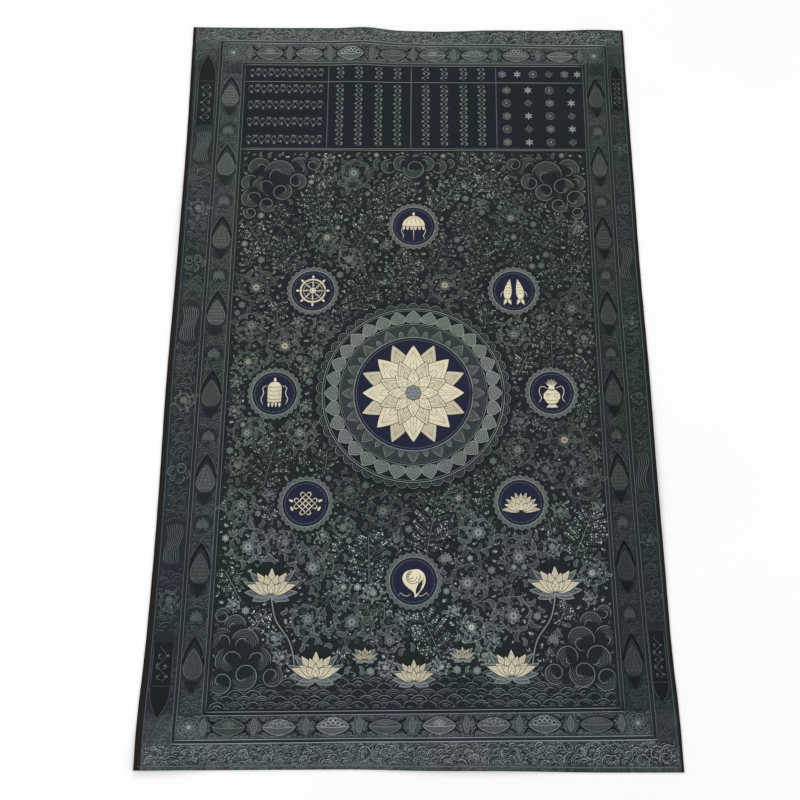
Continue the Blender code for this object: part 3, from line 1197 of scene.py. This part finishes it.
# Bud 31 mm tall: rows of scales, dots or rings inside it.
def bandBud(kind):
    work = rimmed(petalEdge(31, 18, 0.62, 9) + (0, 14), 0.04, 0.18, 0.7, 0.6)
    for side in (-1, 1):
        roof = softLine([[side * 11, -1], [side * 8.6, -12], [0, -28]], 3)
        work += line(roof, 3.2, 0.06, 0.9, "dark") + line(roof - (0, 3.4), 0.6, 0.1, 0.5)
    for row in range(6):
        y, reach = 10 - 4.2 * row, 7.4 - 0.9 * row
        for x in np.linspace(-reach + 1.6, reach - 1.6, max(1, int(reach / 1.7))):
            if kind == 0:
                work += line(arcLine(x, y, 1.8, pi, tau), 0.6, 0.2, 0.85)
            elif kind == 1:
                work += disc(1.1, 0.14, 1, "dark", x=x, y=y - 0.8)
            else:
                work += ring(1.3, 0.6, 0.2, 0.7, x=x, y=y - 0.8)
    return work + fill([[-7.4, 15.5], [7.4, 15.5], [0.5, 29], [-0.5, 29]], 0.02, 0.9, "dark")


# Buds in turn, palmettes between them, and lobes in what is left, brighter in the left band.
def sideBandWork():
    work = []
    places = sideBands["first"] + sideBands["pitch"] * np.arange(sideBands["count"])
    fans = places[:-1] + sideBands["pitch"] / 2
    for column, x in enumerate(sideBands["middles"]):
        blocked = [(x, y + shift, radius) for y in places for shift, radius in sideBands["kept"]]
        blocked += [(x, y, 9.5) for y in fans]
        box = (x - sideBands["box"][0], 69, x + sideBands["box"][1], 843)
        for radius, tone, seed in sideBands["lobes"]:
            tone *= 1 - 0.25 * column
            work += lobeFill(box, radius, seed + column, tone, blocked, (1, 0.5), 0.65)
        first, last = sideBands["tones"][column]
        for k, y in enumerate(places):
            tone = (first + (last - first) * k / len(places)) * (1.1 if k % 2 else 0.9)
            work += moved(bandBud((k + column) % 3), x, y, tone=tone)
        work += scattered(palmette(8, 0.62 - 0.14 * column), [(x, y) for y in fans])
    return faded(work, *sideBands["fade"])


# Outer band: banks of lobes with combs of waves and vines among them, and a dark lancet in each corner with
# a plaque behind its flat end.
outerBand = {
    "sides": (  # box, lobe radius, tone
        ((8.8, 22, 35.6, 874), 7, 0.62),
        ((527.6, 22, 544.6, 874), 5.6, 0.42),
        # the top and bottom bands' higher tone is partly their denser figure and partly painted sheen
        ((8.8, 2, 544.6, 19.8), 5.4, 1.45),
        ((8.8, 876.4, 544.6, 894.8), 5.4, 1.45),
    ),
    "plaques": (  # x, y of the flat end, width, the lancet's height, the plaque's length
        (22, 81, 22, 40, 64), (537, 75, 14, 20, 46),
        (20.5, 815, 21, -32, -44), (535.5, 816, 15, -20, -52),
    ),
    "wavePlaces": (176, 262, 334, 412, 505, 590, 668, 728),
    "fadePlaces": (22, 40, 200, 450, 700, 865, 877),
    "fades": ((1, 1, 1, 1, 0.8, 0.8, 1), (1, 0.8, 0.8, 1, 0.75, 0.75, 1)),
    "middle": 275,  # work to the right of this takes the second fade
    "seeds": (31, 50, 150),  # vines, lobes, dark lobes
}


# Lancet pointing up for a positive height, and a plaque with a vine of leaves that runs the other way.
def plaque(width, height, length):
    half, way = width / 2, 1 if length > 0 else -1
    shape = ((0, 1), (0.26, 0.86), (0.54, 0.72), (0.78, 0.55), (0.93, 0.34), (1, 0.1), (1, 0))
    edge = mirrored([[out * half, -up * height] for out, up in shape])
    work = fill(edge, 0.02, 0.8, "dark") + line(edge, 0.6, 0.1, 0.45)
    work += fill([[-half, 0], [half, 0], [half, length], [-half, length]], 0, 0.9, "dark", 0)
    for side in (-half, half):
        work += line(ruleLine(side, 0, side, length), 0.6, 0.1, 0.55)
    grown = vine(abs(length) - 8, 0.62 * width, 0.5 * width, 0.8)
    return work + moved(grown, 0, way * 4, way * pi / 2, level=0.1)


# Comb of nearly parallel lines that sway together: 2.5 sin(tau v + 0.08 k) + k * (0.75 + 0.25 sin(pi v)),
# with v down the comb and k the line's place in it.
def comb(length, width, tone):
    v = np.linspace(0, 1, int(length / 3))
    work = []
    for k in np.arange(-width / 2, width / 2 + 0.1, 2.5):
        sway = 2.5 * np.sin(tau * v + 0.08 * k) + k * (0.75 + 0.25 * np.sin(pi * v))
        work += line(columns(sway, (v - 0.5) * length * (1 - 0.012 * abs(k))), 0.75, 0, tone)
    return work


# Waves, vines and banks take turns down each side, and lobes fill what is left, with dark ones among them
# at the top and bottom. Nothing here is ivory.
def outerBandWork():
    seed, lobeSeed, darkSeed = outerBand["seeds"]
    rng = np.random.default_rng(seed)
    work, blocked = [], []
    for x, y, width, height, length in outerBand["plaques"]:
        work += moved(plaque(width, height, length), x, y)
        blocked += [(x, y + part, width / 2) for part in np.linspace(-0.6 * height, length, 12)]
    for number, (box, radius, tone) in enumerate(outerBand["sides"][:2]):
        middle, span = (box[0] + box[2]) / 2, box[2] - box[0]
        for k, y in enumerate(outerBand["wavePlaces"]):
            if (k + number) % 3 == 0:
                grown = comb(46, span * 0.7, tone * 1.1)
                blocked += [(middle, y + shift, span * 0.42) for shift in (-16, -8, 0, 8, 16)]
            elif (k + number) % 3 == 1:
                grown = scrollVine(span * 0.5, rng.uniform(0, tau), 1 - 2 * number, rng, tone * 1.2)
                blocked += [(middle, y, span * 0.5)]
            else:
                grown = bank(bankDiscs(span * 0.55, rng), tone * 1.3)
                blocked += [(middle, y, span * 0.52)]
            work += moved(grown, middle, y)
    for number, (box, radius, tone) in enumerate(outerBand["sides"]):
        work += lobeFill(box, radius, lobeSeed + number, tone, blocked, (1, 0.70, 0.40), 0.8)
        if number > 1:
            for item in lobeFill(box, radius * 0.8, darkSeed + number, 0.8, blocked, (1, 0.5), 0.9):
                work += line(item[2], item[3], 0.05, item[5], "dark")
    work = [item for item in work if item[1] != "ivory"]
    left = [item for item in work if item[2][0, 0] < outerBand["middle"]]
    right = [item for item in work if item[2][0, 0] >= outerBand["middle"]]
    return [
        item
        for half, factors in zip((left, right), outerBand["fades"])
        for item in faded(half, outerBand["fadePlaces"], factors)
    ]


# Rows and columns of ornament in the ruled table.
table = {
    "rowPlaces": (67.5, 91.5, 115, 139.5, 165),
    "rowSpan": (72, 167),
    "columnPlaces": (187, 210.5, 235.5, 259, 294.5, 317.5, 342, 364.5),
    "columnSpans": ((58, 78), (84, 174)),
    "rosetteColumns": (396, 423, 450, 477),
    "rosetteRows": (92, 111, 130, 149, 168),
    "headRosettes": (391, 410, 430, 450, 470, 486),
    "headRow": 68,
}


# Rosette of petals, leaves, rings or curls.
def rosette(kind, size):
    if kind == 0:
        return openBlossom(size, 6, 1, 0.65)
    if kind == 1:
        return around(solidLeaf(size, size * 0.5, 0.9), 6) + smallBlossom(size * 0.3, 6, "pale", 0.5, 0.1)
    if kind == 2:
        rings = ring(size * 0.92, 0.7) + ring(size * 0.55, 0.6)
        return rings + smallBlossom(size * 0.4, 5, "pale", 1.2, 0.1)
    return around(line(spiralLine(size * 0.5, 0, size * 0.48, size * 0.1, pi, tau * 1.1), 0.65), 4)


# Rows of vines on the left, columns of them in the middle, and rosettes on the right under a head row.
def tableWork():
    x0, x1 = table["rowSpan"]
    work = scattered(vine(x1 - x0, 13, 7.9), [(x0, y) for y in table["rowPlaces"]])
    for x in table["columnPlaces"]:
        for y0, y1 in table["columnSpans"]:
            work += moved(vine(y1 - y0, 9.5, 6.4, 1.16), x, y0, pi / 2)
    for k, x in enumerate(table["headRosettes"]):
        work += moved(rosette(k % 4, 5.4), x, table["headRow"])
    for i, x in enumerate(table["rosetteColumns"]):
        for j, y in enumerate(table["rosetteRows"]):
            work += moved(rosette((i + 2 * j) % 4, 5.6), x, y)
    return work


# Field: a round lotus medallion in the middle and eight small ones about it, on an ellipse.
medallions = {
    "main": (280, 497, 113),  # x, y, radius
    "ring": (158, 212),  # half axes of the ellipse
    "ringRadius": 31,
    "slanting": (1.06, 0.848),  # factors on those half axes for the four slanting ones
    "heart": 68,
    "scallops": ((6.6, 0.8, 0.9), (4.4, 0.6, 0.7), (2.3, 0.6, 0.7)),  # radius, width and tone
    "rings": ((104, 1.2, 0.9), (101.8, 0.8, 0.8), (84.5, 1, 0.9), (82.4, 0.6, 0.7)),
    "rays": 180,
    "ivoryPetals": (  # length, width, level and tone of each row of eight
        (57, 28.5, 0.58, 0.74), (53, 31, 0.80, 0.93), (37, 21, 1.02, 0.82), (26, 15, 1.24, 1.03),
    ),
}


# Middles of the small medallions, clockwise from the top.
def smallPlaces():
    x, y = medallions["main"][:2]
    places = []
    for k in range(8):
        angle = tau * k / 8 - pi / 2
        wide, tall = np.array(medallions["ring"]) * (medallions["slanting"] if k % 2 else 1)
        places.append((x + wide * cos(angle), y + tall * sin(angle)))
    return places


# Petals side by side between two radii, with smaller edges nested inside each.
def petalRing(inner, outer, count, tone, width, echoes, body=0.3, level=0.06):
    edge = petalEdge(outer - inner, tau * (inner + outer) / 2 / count * 1.04, 0.6, 6)
    petal = rimmed(edge, level, body, width, tone)
    for share in echoes:
        petal += line(edge * share, width * 0.8, level + 0.14, tone * 0.8)
    return around(moved(petal, 0, -inner), count)


# Broad petal with nested edges and cross veins.
def figuredPetal(length, width, level, tone):
    edge = petalEdge(length, width, 0.62, 9)
    work = rimmed(edge, level, 0.24 * tone, 0.9, 1.1 * tone, 0.15)
    for share in (0.86, 0.68, 0.5):
        work += line(edge * share - (0, length * 0.04), 0.55, level + 0.15, 0.8 * tone)
    for side in (-1, 1):
        for part in (0.30, 0.42, 0.54, 0.66, 0.78):
            end = [side * width * 0.40 * sin(pi * part**0.62), -length * (part + 0.10)]
            work += line([[0, -length * part], end], 0.5, level + 0.15, 0.75 * tone)
    return work


# Ivory form within a closed edge, with a dark line along it.
def inked(edge, level=0, tone=0.95, thread=0.5):
    return rimmed(edge, level, tone, thread, 1, 0.14, "ivory", "dark", 0.06)


# Ivory petal with dark nested edges and three veins.
def ivoryPetal(length, width, level, tone):
    edge = petalEdge(length, width, 0.66, 10)
    work = inked(edge, level, tone, 0.65)
    for share in (0.84, 0.62):
        work += line((edge * share)[1:-1], 0.4, level + 0.17, 2.2, "dark")
    for side in (-0.12, 0, 0.12):
        vein = np.array([[side * 0.6, -0.22], [side, -0.55], [0.3 * side, -0.88]]) * (width, length)
        work += line(vein, 0.4, level + 0.18, 2.2, "dark")
    return work


# From the rim in: scallops and rings, a ring of petals, rays and broad petals, and a lotus on a navy disc.
def mainMedallion():
    heart = medallions["heart"]
    work = disc(112.5, 0, 0.8, "dark")
    for reach, width, tone in medallions["scallops"]:
        work += around(line(arcLine(0, -104.5, reach, -pi, 0), width, 0.12, tone), 50)
    for radius, width, tone in medallions["rings"]:
        work += ring(radius, width, 0.12, tone)
    work += petalRing(85.5, 101.2, 32, 1.3, 0.9, (0.78, 0.56, 0.34), 0.42)
    work += disc(82, 0.06, 2.3, "dark", 0.02)
    ray = np.array([[0, -heart - 3], [0, -heart - 11], [0, -81]])
    for k in range(medallions["rays"]):
        own = line(ray * (1, 1 if k % 2 else 0.92), 0.4, 0.16, 0.34 if k % 3 else 0.22)
        work += moved(own, turn=tau * k / medallions["rays"])
    petals = around(moved(figuredPetal(34, 22, 0.18, 0.9), 0, -47), 16)
    petals += around(moved(figuredPetal(30, 19, 0.34, 1.1), 0, -46), 16, tau / 32)
    work += [item for item in petals if item[0] == "fill"]
    work += behind([item for item in petals if item[0] == "line"], [(0, 0, heart)])
    work += disc(heart, 0.50, 1, "navy", 0.02)
    work += ring(heart, 1.1, 0.60, 1.05) + ring(heart - 3, 0.6, 0.60, 0.7)
    for row, sizes in enumerate(medallions["ivoryPetals"]):
        work += around(moved(ivoryPetal(*sizes), 0, row - 6), 8, 0 if row % 2 else tau / 16)
    work += disc(8.6, 1.44, 0.7) + ring(8.6, 0.7, 1.54, 1, "dark")
    seeds = [(5.2 * cos(k * tau / 6), 5.2 * sin(k * tau / 6)) for k in range(6)]
    return work + scattered(disc(1.1, 1.58, 2, "navy"), [*seeds, (0, 0)])


# Dark line on an ivory form. The small medallions' motifs that follow are each about 38 mm high.
def ink(points, width, tone=1, level=0.2):
    return line(points, width, level, tone, "dark")


# Form from the right half of its outline.
def halved(half, level=0, tone=0.95):
    edge = mirrored(half)
    return inked(np.concatenate([edge, edge[:1]]), level, tone)


# Ribbon through a few points on the right, and its mirror image.
def ribbons(points, width=1.2):
    return paired(line(softLine(points), width, 0, 0.8, "ivory"))


# Row of hanging petals.
def valance(places, y, length, width):
    petal = inked(petalEdge(length, width, 0.75, 4), 0.02, 0.84, 0.4)
    return scattered(petal, [(x, y, pi) for x in places])


# One upright leaf.
def finial(length, width, y):
    return moved(solidLeaf(length, width, 0.95, "ivory", 0.04), 0, y)


def vaseMotif():
    work = halved([[0, -4], [4.6, -3.4], [9.2, 1], [9.6, 6], [6.4, 11.5], [3.4, 13.6]])
    work += halved([[0, 12.6], [3.2, 13], [7, 17.4], [0, 17.9]], 0.02, 0.85)
    work += halved([[0, -10.6], [6.4, -11], [3.2, -7.4], [3.8, -3.6]], 0.03, 1)
    work += moved(lotus(8, lotusRows[1:3], 0.4, 5), 0, -9.5)
    for y, reach in ((-3.6, 4.2), (0.4, 8.6), (7.8, 8.9), (12.8, 3.4)):
        work += ink(arcLine(0, y, reach, 0.25, pi - 0.25, 1.3), 0.55)
    for side in (-1, 1):
        work += ink(spiralLine(side * 4.3, 4.3, 2.6, 0.6, 0, side * tau), 0.5)
    return work + ribbons([[4, -5], [12, -7.5], [14, 0], [11.5, 6.5], [15, 11.5]])


# Conch: a body that swells from its tip, a coiled spire and a dark mouth.
def shellMotif():
    body = [[-2, -12], [5, -12.5], [11, -8], [13, -1], [11, 6], [6.5, 12], [1.5, 17.5]]
    body += [[0, 12], [-5, 8], [-10, 3], [-12, -4], [-8.5, -10], [-2, -12]]
    work = inked(softLine(body, 2))
    for k, reach in enumerate((8.2, 5.6, 3)):
        coil = spiralLine(-1 - 0.9 * k, -4.4 - 0.3 * k, reach, reach * 0.72, -0.4 + 0.3 * k, tau * 0.8)
        work += ink(coil, 0.7)
    work += moved(fill(petalEdge(17, 5, 0.9, 6)[:-1], 0.16, 1.2, "dark"), 2.4, 14, 0.42)
    for side in (3, 5.4, 7.8):
        fold = [[side * 0.4 + 1, 11.5 - side * 0.5], [side + 2, 3], [side + 2.6, -4]]
        work += ink(softLine(fold, 3), 0.45, 1.8)
    return work + ribbons([[3, 13.5], [9, 16], [13, 12], [16, 15.5]], 1)


# Endless knot: four cords each way, joined in loops at their ends, those that run across on top.
def knotMotif():
    step, work = 4.6, []
    reach = step * 2.05
    for k in (-1.5, -0.5, 0.5, 1.5):
        cord = np.array([[k * step, -reach], [k * step, 0], [k * step, reach]])
        work += line(cord, 1.6, 0.02, 0.95, "ivory") + line(cord[:, ::-1], 1.6, 0.16, 0.88, "ivory")
    for k in (-1, 1):
        for side in (-1, 1):
            start = 0 if side > 0 else pi
            loop = arcLine(k * step, side * reach, step / 2, start, start + pi)
            over = arcLine(side * reach, k * step, step / 2, start - pi / 2, start + pi / 2)
            work += line(loop, 1.6, 0.02, 0.95, "ivory") + line(over, 1.6, 0.16, 0.88, "ivory")
    work = moved(work, turn=tau / 8)
    for side in (-1, 1):
        for y, lean in ((8, 0.6), (-2, 1.2)):
            work += moved(solidLeaf(6, 3.4, 0.8, "ivory"), side * 13, y, side * lean)
    return work


def wheelMotif():
    work = ring(14.2, 2.4, 0.02, 0.95, "ivory") + ring(10.8, 0.8, 0.02, 0.8, "ivory")
    spoke = line([[0, -3], [0, -8], [0, -13.4]], 1.7, 0.04, 0.95, "ivory")
    spoke += moved(inked(petalEdge(5, 3.6, 0.75, 4), 0, 0.9, 0.4), 0, -15)
    spoke += moved(solidLeaf(5, 3.2, 0.6, "pale", 0.02), 0, -4, tau / 16)
    return work + around(spoke, 8) + inked(arcLine(0, 0, 4), 0.16) + ring(2.2, 0.6, 0.36, 1, "dark")


def parasolMotif():
    work = line([[0, -16], [0, 5], [0, 18]], 1.4, -0.02, 0.85, "ivory")
    work += halved([[0, -14.5], [5.5, -12.8], [11.5, -7.4], [14, -1], [7, 0.4]])
    work += valance((-11.6, -7, -2.4, 2.4, 7, 11.6), -0.8, 6.4, 4.4)
    for reach in (-9, -3.2, 3.2, 9):
        work += ink(softLine([[reach, -1.4], [reach * 0.75, -8], [reach * 0.15, -13.8]]), 0.5)
    return work + finial(5, 3.4, -14) + ribbons([[12.5, 1], [14.5, 7], [11.5, 11.5], [13, 16.5]])


def bannerMotif():
    work = halved([[0, -14], [4.6, -12.8], [7.8, -8.8], [8, 0], [7.6, 10], [0, 11]])
    scale = ink(petalEdge(3.2, 2.8, 0.75, 4), 0.4, 1.6, 0.18)
    for y in (-9, -4.2, 0.6, 5.4):
        work += ink(arcLine(0, y, 7.8, 0.1, pi - 0.1, 1.6), 0.6, 1, 0.18)
        work += scattered(scale, [(x, y + 1.4, pi) for x in (-5.2, -1.8, 1.8, 5.2)])
    work += valance((-6, -2, 2, 6), 10.2, 6.2, 3.4) + finial(5.4, 3.8, -13.4)
    return work + ribbons([[7.4, -9], [13.5, -7], [12, 0], [15, 6.5], [12.5, 13]])


def fishMotif():
    fish = inked(petalEdge(27, 9.6, 0.66, 9, 3.4), 0.02)
    for lean in (-0.62, 0.62):
        fish += moved(inked(petalEdge(9.5, 4.6, 0.75, 5, -2.2 * lean), 0, 0.85, 0.4), 0, -2.6, pi + lean)
    for k in range(4):
        fish += ink(arcLine(0.9 + 0.28 * k, -7 - 3.6 * k, 3.3, -2.7, -0.45, 1.8), 0.45, 1.8)
    fish += disc(0.8, 0.2, 1, "dark", x=2.4, y=-23)
    fish += line(softLine([[-2.6, -12], [-6.6, -9], [-7.4, -4.4]]), 1.2, 0, 0.8, "ivory")
    return paired(moved(fish, -7.6, 12))


def lotusMotif():
    return moved(lotus(21, lotusRows, 0.5, 7), 0, 9)


# Ring of petals about a navy disc, a wreath of small leaves along its edge, and the motif.
def smallMedallion(motif):
    radius = medallions["ringRadius"]
    work = disc(radius + 0.5, 0, 0.8, "dark")
    work += petalRing(radius - 5, radius, 26, 0.95, 0.65, (0.6,))
    work += ring(radius - 5.2, 1, 0.14, 1.05) + disc(radius - 6.6, 0.06, 1, "navy", 0.02)
    work += ring(radius - 8.2, 0.5, 0.14, 0.6)
    for lean in (-0.7, 0.7):
        work += around(moved(solidLeaf(3, 1.3, 0.5, "pale", 0.1), 0, 8.2 - radius, pi + lean), 22)
    return work + moved(motif, size=1.02, level=0.22)


def medallionWork():
    makers = parasolMotif, fishMotif, vaseMotif, lotusMotif, shellMotif, knotMotif, bannerMotif, wheelMotif
    work = moved(mainMedallion(), *medallions["main"][:2])
    for maker, place in zip(makers, smallPlaces()):
        work += moved(smallMedallion(maker()), *place)
    return work


# Mirror image about the main medallion's axis: x first in each entry.
def overAxis(entries):
    return [(2 * medallions["main"][0] - x, *rest) for x, *rest in entries]


# Pond below with rocks beside it, clouds above: x, y and size or radius of each. Rocks, clouds and a stem on
# the left have their mirror images on the right.
scenery = {
    "lotuses": (
        (128, 722, 33), (432, 722, 33), (178, 808, 32), (382, 808, 32), (280, 812, 26),
        (229, 790, 15), (331, 790, 15),
    ),
    "petals": (  # turn, length, level
        (1.9, 0.62, 0), (1.5, 0.85, 0.04), (1.15, 0.98, 0.08), (0.78, 1, 0.12),
    ),
    "stem": ((128, 722), (134, 748), (150, 772), (158, 810)),
    "clouds": (
        (140, 204, 14), (157, 200, 9), (91, 206, 14), (116, 214, 19), (138, 224, 11),
        (81, 226, 11), (98, 232, 14), (120, 238, 12), (84, 248, 13), (103, 256, 10),
        (82, 267, 8),
    ),
    "rocks": (
        (78, 744, 8), (92, 755, 12), (78, 770, 13), (103, 773, 15), (88, 791, 15),
        (118, 790, 13), (104, 806, 14), (133, 806, 11), (80, 812, 12),
    ),
    "middleCloud": (
        (237, 199, 7), (323, 199, 7), (250, 203, 10), (310, 203, 10), (266, 199, 11),
        (294, 199, 11), (280, 206, 13),
    ),
    "waveRadius": 9.5,
    "waveTop": 806,
}
rocks = (scenery["rocks"], overAxis(scenery["rocks"]))
banks = (scenery["clouds"], overAxis(scenery["clouds"]), scenery["middleCloud"], *rocks)
stems = [softLine(stem) for stem in (scenery["stem"], overAxis(scenery["stem"]))]

field = {
    "box": (69, 182, 491, 839),
    "sizes": (25, 21, 17.5, 14.5, 12, 9.5, 7.4),
    "smallSizes": (5.4, 4.4, 3.5, 2.7, 2),
    "seeds": (77, 91, 92),  # places, large motifs, small motifs
    "patches": 110,
    "boughsAbove": 400,  # more boughs above this height, more vines below
    "tones": ((182, 380, 600, 700, 840), (0.97, 0.78, 0.80, 1.34, 1.55)),  # heights, and the tone at each
    "tonesAcross": ((69, 300, 491), (1.03, 1, 0.9)),
    "zones": ("top", "upper", "middle", "lower", "bottom"),
}


# Waves that end at the lotuses and rocks, then banks, stems and lotuses with broad petals to their sides.
def sceneryWork():
    x0, y0, x1, y1 = field["box"]
    waves, radius, top = [], scenery["waveRadius"], scenery["waveTop"]
    for row, y in enumerate(np.arange(top, 846, radius * 0.62)):
        places = np.arange(x0 + (row % 2) * radius * 0.95, x1 + radius, radius * 1.9)
        waves += [(x, y + radius * 0.6, radius) for x in places]
    taken = [(x, y - size * 0.42, size * 0.62) for x, y, size in scenery["lotuses"]]
    pond = behind(lobes(waves, 1, (1, 0.8, 0.6, 0.4, 0.2), 0.75, 3), [*taken, *rocks[0], *rocks[1]])
    work = trimmed(pond, lambda points: inBox(points, (x0, top - 6, x1, y1)))
    for discs in banks:
        work += trimmed(bank(discs, 0.9), lambda points: inBox(points, field["box"]))
    for stem in stems:
        work += line(stem, 1.4, 0.1)
    for x, y, size in scenery["lotuses"]:
        for side in (-1, 1):
            for turn, length, level in scenery["petals"]:
                work += moved(figuredPetal(size * length, size * 0.30, level, 1.1), x, y, side * turn)
        work += moved(lotus(size * 0.92, lotusRows[1:], count=7), x, y, level=0.3, tone=0.9)
    return work


# How bright the work is about a place: the mean of 1 and the patches' tones, each weighted by
# exp(-(distance / reach)**2), times a tone for the height and one for the place across.
def fieldTone(x, y, patches):
    near = np.exp(-(((patches[:, 0] - x) ** 2 + (patches[:, 1] - y) ** 2) / patches[:, 2] ** 2))
    tone = (1 + (near * patches[:, 3]).sum()) / (1 + near.sum())
    return float(tone * np.interp(y, *field["tones"]) * np.interp(x, *field["tonesAcross"]))


# Large motifs on packed circles: boughs, palmettes, and vines that turn away from their neighbour.
def growField(circles, patches, seed):
    rng = np.random.default_rng(seed)
    work, hands = [], []
    for x, y, radius, parent in circles:
        start, hand = rng.uniform(0, tau), handOf(rng)
        if parent >= 0:
            start = atan2(circles[parent][1] - y, circles[parent][0] - x)
            hand = -hands[parent]
        hands.append(hand)
        shade = fieldTone(x, y, patches) * rng.uniform(0.85, 1.15)
        pick, lean = rng.random(), rng.uniform(-0.7, 0.7)
        if pick < (0.72 if y < field["boughsAbove"] else 0.30):
            work += moved(bough(radius * 1.1, rng, shade * 1.1), x, y, lean)
        elif pick > 0.92 and radius < 15:
            work += moved(palmette(radius * 0.8, shade * 0.8), x, y, lean)
        else:
            work += moved(scrollVine(radius, start, hand, rng, shade * 0.85), x, y)
    return work


# Small motifs in the room left over.
def growTufts(circles, patches, seed):
    rng = np.random.default_rng(seed)
    work = []
    for x, y, radius, parent in circles:
        shade, pick = fieldTone(x, y, patches), rng.random()
        turn, hand = rng.uniform(-1.2, 1.2), handOf(rng)
        low = 0
        if radius > 4 and pick < 0.45:
            grown, low = curlLeaf(radius * 1.8, hand, shade * 0.8), 0.7
        elif radius > 4 and pick < 0.8:
            grown, low = sprig(radius * 0.95, rng, shade, 5) + leaflet(radius * 0.9, shade * 0.5), 0.3
        elif radius > 4:
            grown, turn = openFlower(radius * 0.8, 6, shade * 0.9, "ivory" if pick < 0.85 else "pale"), 0
        elif pick < 0.62:
            grown, low = sprig(radius * 1.5, rng, shade * 0.85), 0.6
        elif pick < 0.92:
            curl = spiralLine(0, 0, radius * 0.85, radius * 0.2, turn, hand * tau)
            grown, turn = line(curl, 0.55, 0, shade * 0.6), 0
        else:
            grown, turn = smallBlossom(radius * 0.5, 5, "pale" if pick < 0.98 else "ivory", 0.9), 0
        work += moved(grown, x, y + radius * low, turn)
    return work


# Discs that the field's motifs keep clear of.
def fieldDiscs():
    blocked = [medallions["main"]] + [(x, y, medallions["ringRadius"]) for x, y in smallPlaces()]
    blocked = [(x, y, radius + 1) for x, y, radius in blocked]
    for x, y, size in scenery["lotuses"]:
        blocked += [(x, y - size * 0.42, size * 0.60)]
        blocked += [(x + side * size, y, size * 0.35) for side in (-0.55, 0.55)]
    blocked += [(x, y, radius + 0.8) for discs in banks for x, y, radius in discs]
    blocked += [(x, y, 2) for stem in stems for x, y in stem]
    return blocked + [(x, 832, 24) for x in np.arange(75, 491, 8)]


# Large motifs, then small ones in the room between them, made in five zones of equal count down the field.
def makeField():
    seed, largeSeed, smallSeed = field["seeds"]
    rng = np.random.default_rng(seed)
    x0, y0, x1, y1 = field["box"]
    patches = rng.uniform([x0, y0, 15, 0.4], [x1, y1, 40, 1.6], (field["patches"], 4))  # x, y, reach, tone
    blocked = fieldDiscs()
    circles = packCircles(field["box"], blocked, field["sizes"], seed)
    work = growField(circles, patches, largeSeed)
    points = np.concatenate([item[2] for item in work])
    small = packCircles(field["box"], blocked, field["smallSizes"], seed, 0.2, 1, 1, points)
    print(len(circles), "large and", len(small), "small motifs in the field")
    work += growTufts(small, patches, smallSeed)
    heights = np.array([item[2][:, 1].mean() for item in work])
    edges = np.quantile(heights, np.linspace(0, 1, 6))
    edges[-1] += 1
    for zone, low, high in zip(field["zones"], edges[:-1], edges[1:]):
        makeWork(zone + "_field", [item for item, y in zip(work, heights) if low <= y < high])


for zone, build in {
    "rules": layoutRules,
    "bowl_bands": bowlBands,
    "side_bands": sideBandWork,
    "outer_band": outerBandWork,
    "table": tableWork,
    "medallions": medallionWork,
    "scenery": sceneryWork,
}.items():
    print(zone)
    makeWork(zone, build())
makeField()

# Camera, floor and light, in metres.
view = {
    "place": (-0.0218, -0.4722, 1.1473),
    "turn": (19.978, -0.630, 0.112),
    "focalPixels": 1088.7,
    "framePixels": 800,
    "sensor": 36,
}
floorLook = {"reach": 6, "below": 0.0003, "shades": ((0.90, 0.90, 0.90, 1), (0.93, 0.93, 0.93, 1))}
lamps = (  # name, place, aim, size, watts
    ("keyLight", (-1.6, -0.6, 1.8), (0, 0, 0), 1.6, 26),
    ("fillLight", (1.7, -0.4, 1.7), (0, 0, 0), 1.8, 20),
    ("topLight", (0, 2.3, 2), (0, 0.2, 0), 1.6, 24),
)
sky = {"Color": (1, 1, 1, 1), "Strength": 0.45}


# Adds an object at a place, turned by angles in radians.
def stand(name, data, place, turn=(0, 0, 0)):
    thing = bpy.data.objects.new(name, data)
    thing.location = place
    thing.rotation_euler = turn
    bpy.context.scene.collection.objects.link(thing)
    return thing


def makeCamera():
    lens = bpy.data.cameras.new("camera")
    lens.sensor_width = view["sensor"]
    lens.lens = view["focalPixels"] / view["framePixels"] * view["sensor"]
    turn = Euler([radians(angle) for angle in view["turn"]], "XYZ")
    bpy.context.scene.camera = stand("camera", lens, view["place"], turn)


def makeFloor():
    mesh = bpy.data.meshes.new("floor")
    reach = floorLook["reach"]
    corners = [(-reach, -reach, 0), (reach, -reach, 0), (reach, reach, 0), (-reach, reach, 0)]
    mesh.from_pydata(corners, [], [(0, 1, 2, 3)])
    material, net, shader = startMaterial("paleFloor")
    grain = net.put("TexNoise", {"Scale": 60, "Detail": 2}).outputs["Fac"]
    net.feed(shader, {
        "Base Color": net.blend(grain, *floorLook["shades"]), "Roughness": 0.9, "Specular IOR Level": 0.1
    })
    mesh.materials.append(material)
    floor = stand("floor", mesh, (0, 0, -floorLook["below"]))


# Each lamp stands at its place and points at its aim, under an even pale sky.
def makeLights():
    for name, place, aim, size, watts in lamps:
        light = bpy.data.lights.new(name, "AREA")
        light.size = size
        light.energy = watts
        away = np.array(place) - np.array(aim)
        tilt = atan2(hypot(away[0], away[1]), away[2])
        stand(name, light, place, (tilt, 0, atan2(away[0], -away[1])))
    world = bpy.data.worlds.new("softSky")
    world.use_nodes = True
    for label, value in sky.items():
        world.node_tree.nodes["Background"].inputs[label].default_value = value
    bpy.context.scene.world = world
    bpy.context.scene.view_settings.view_transform = "Standard"


makeCamera()
makeFloor()
makeLights()
print("camera, floor and lights")
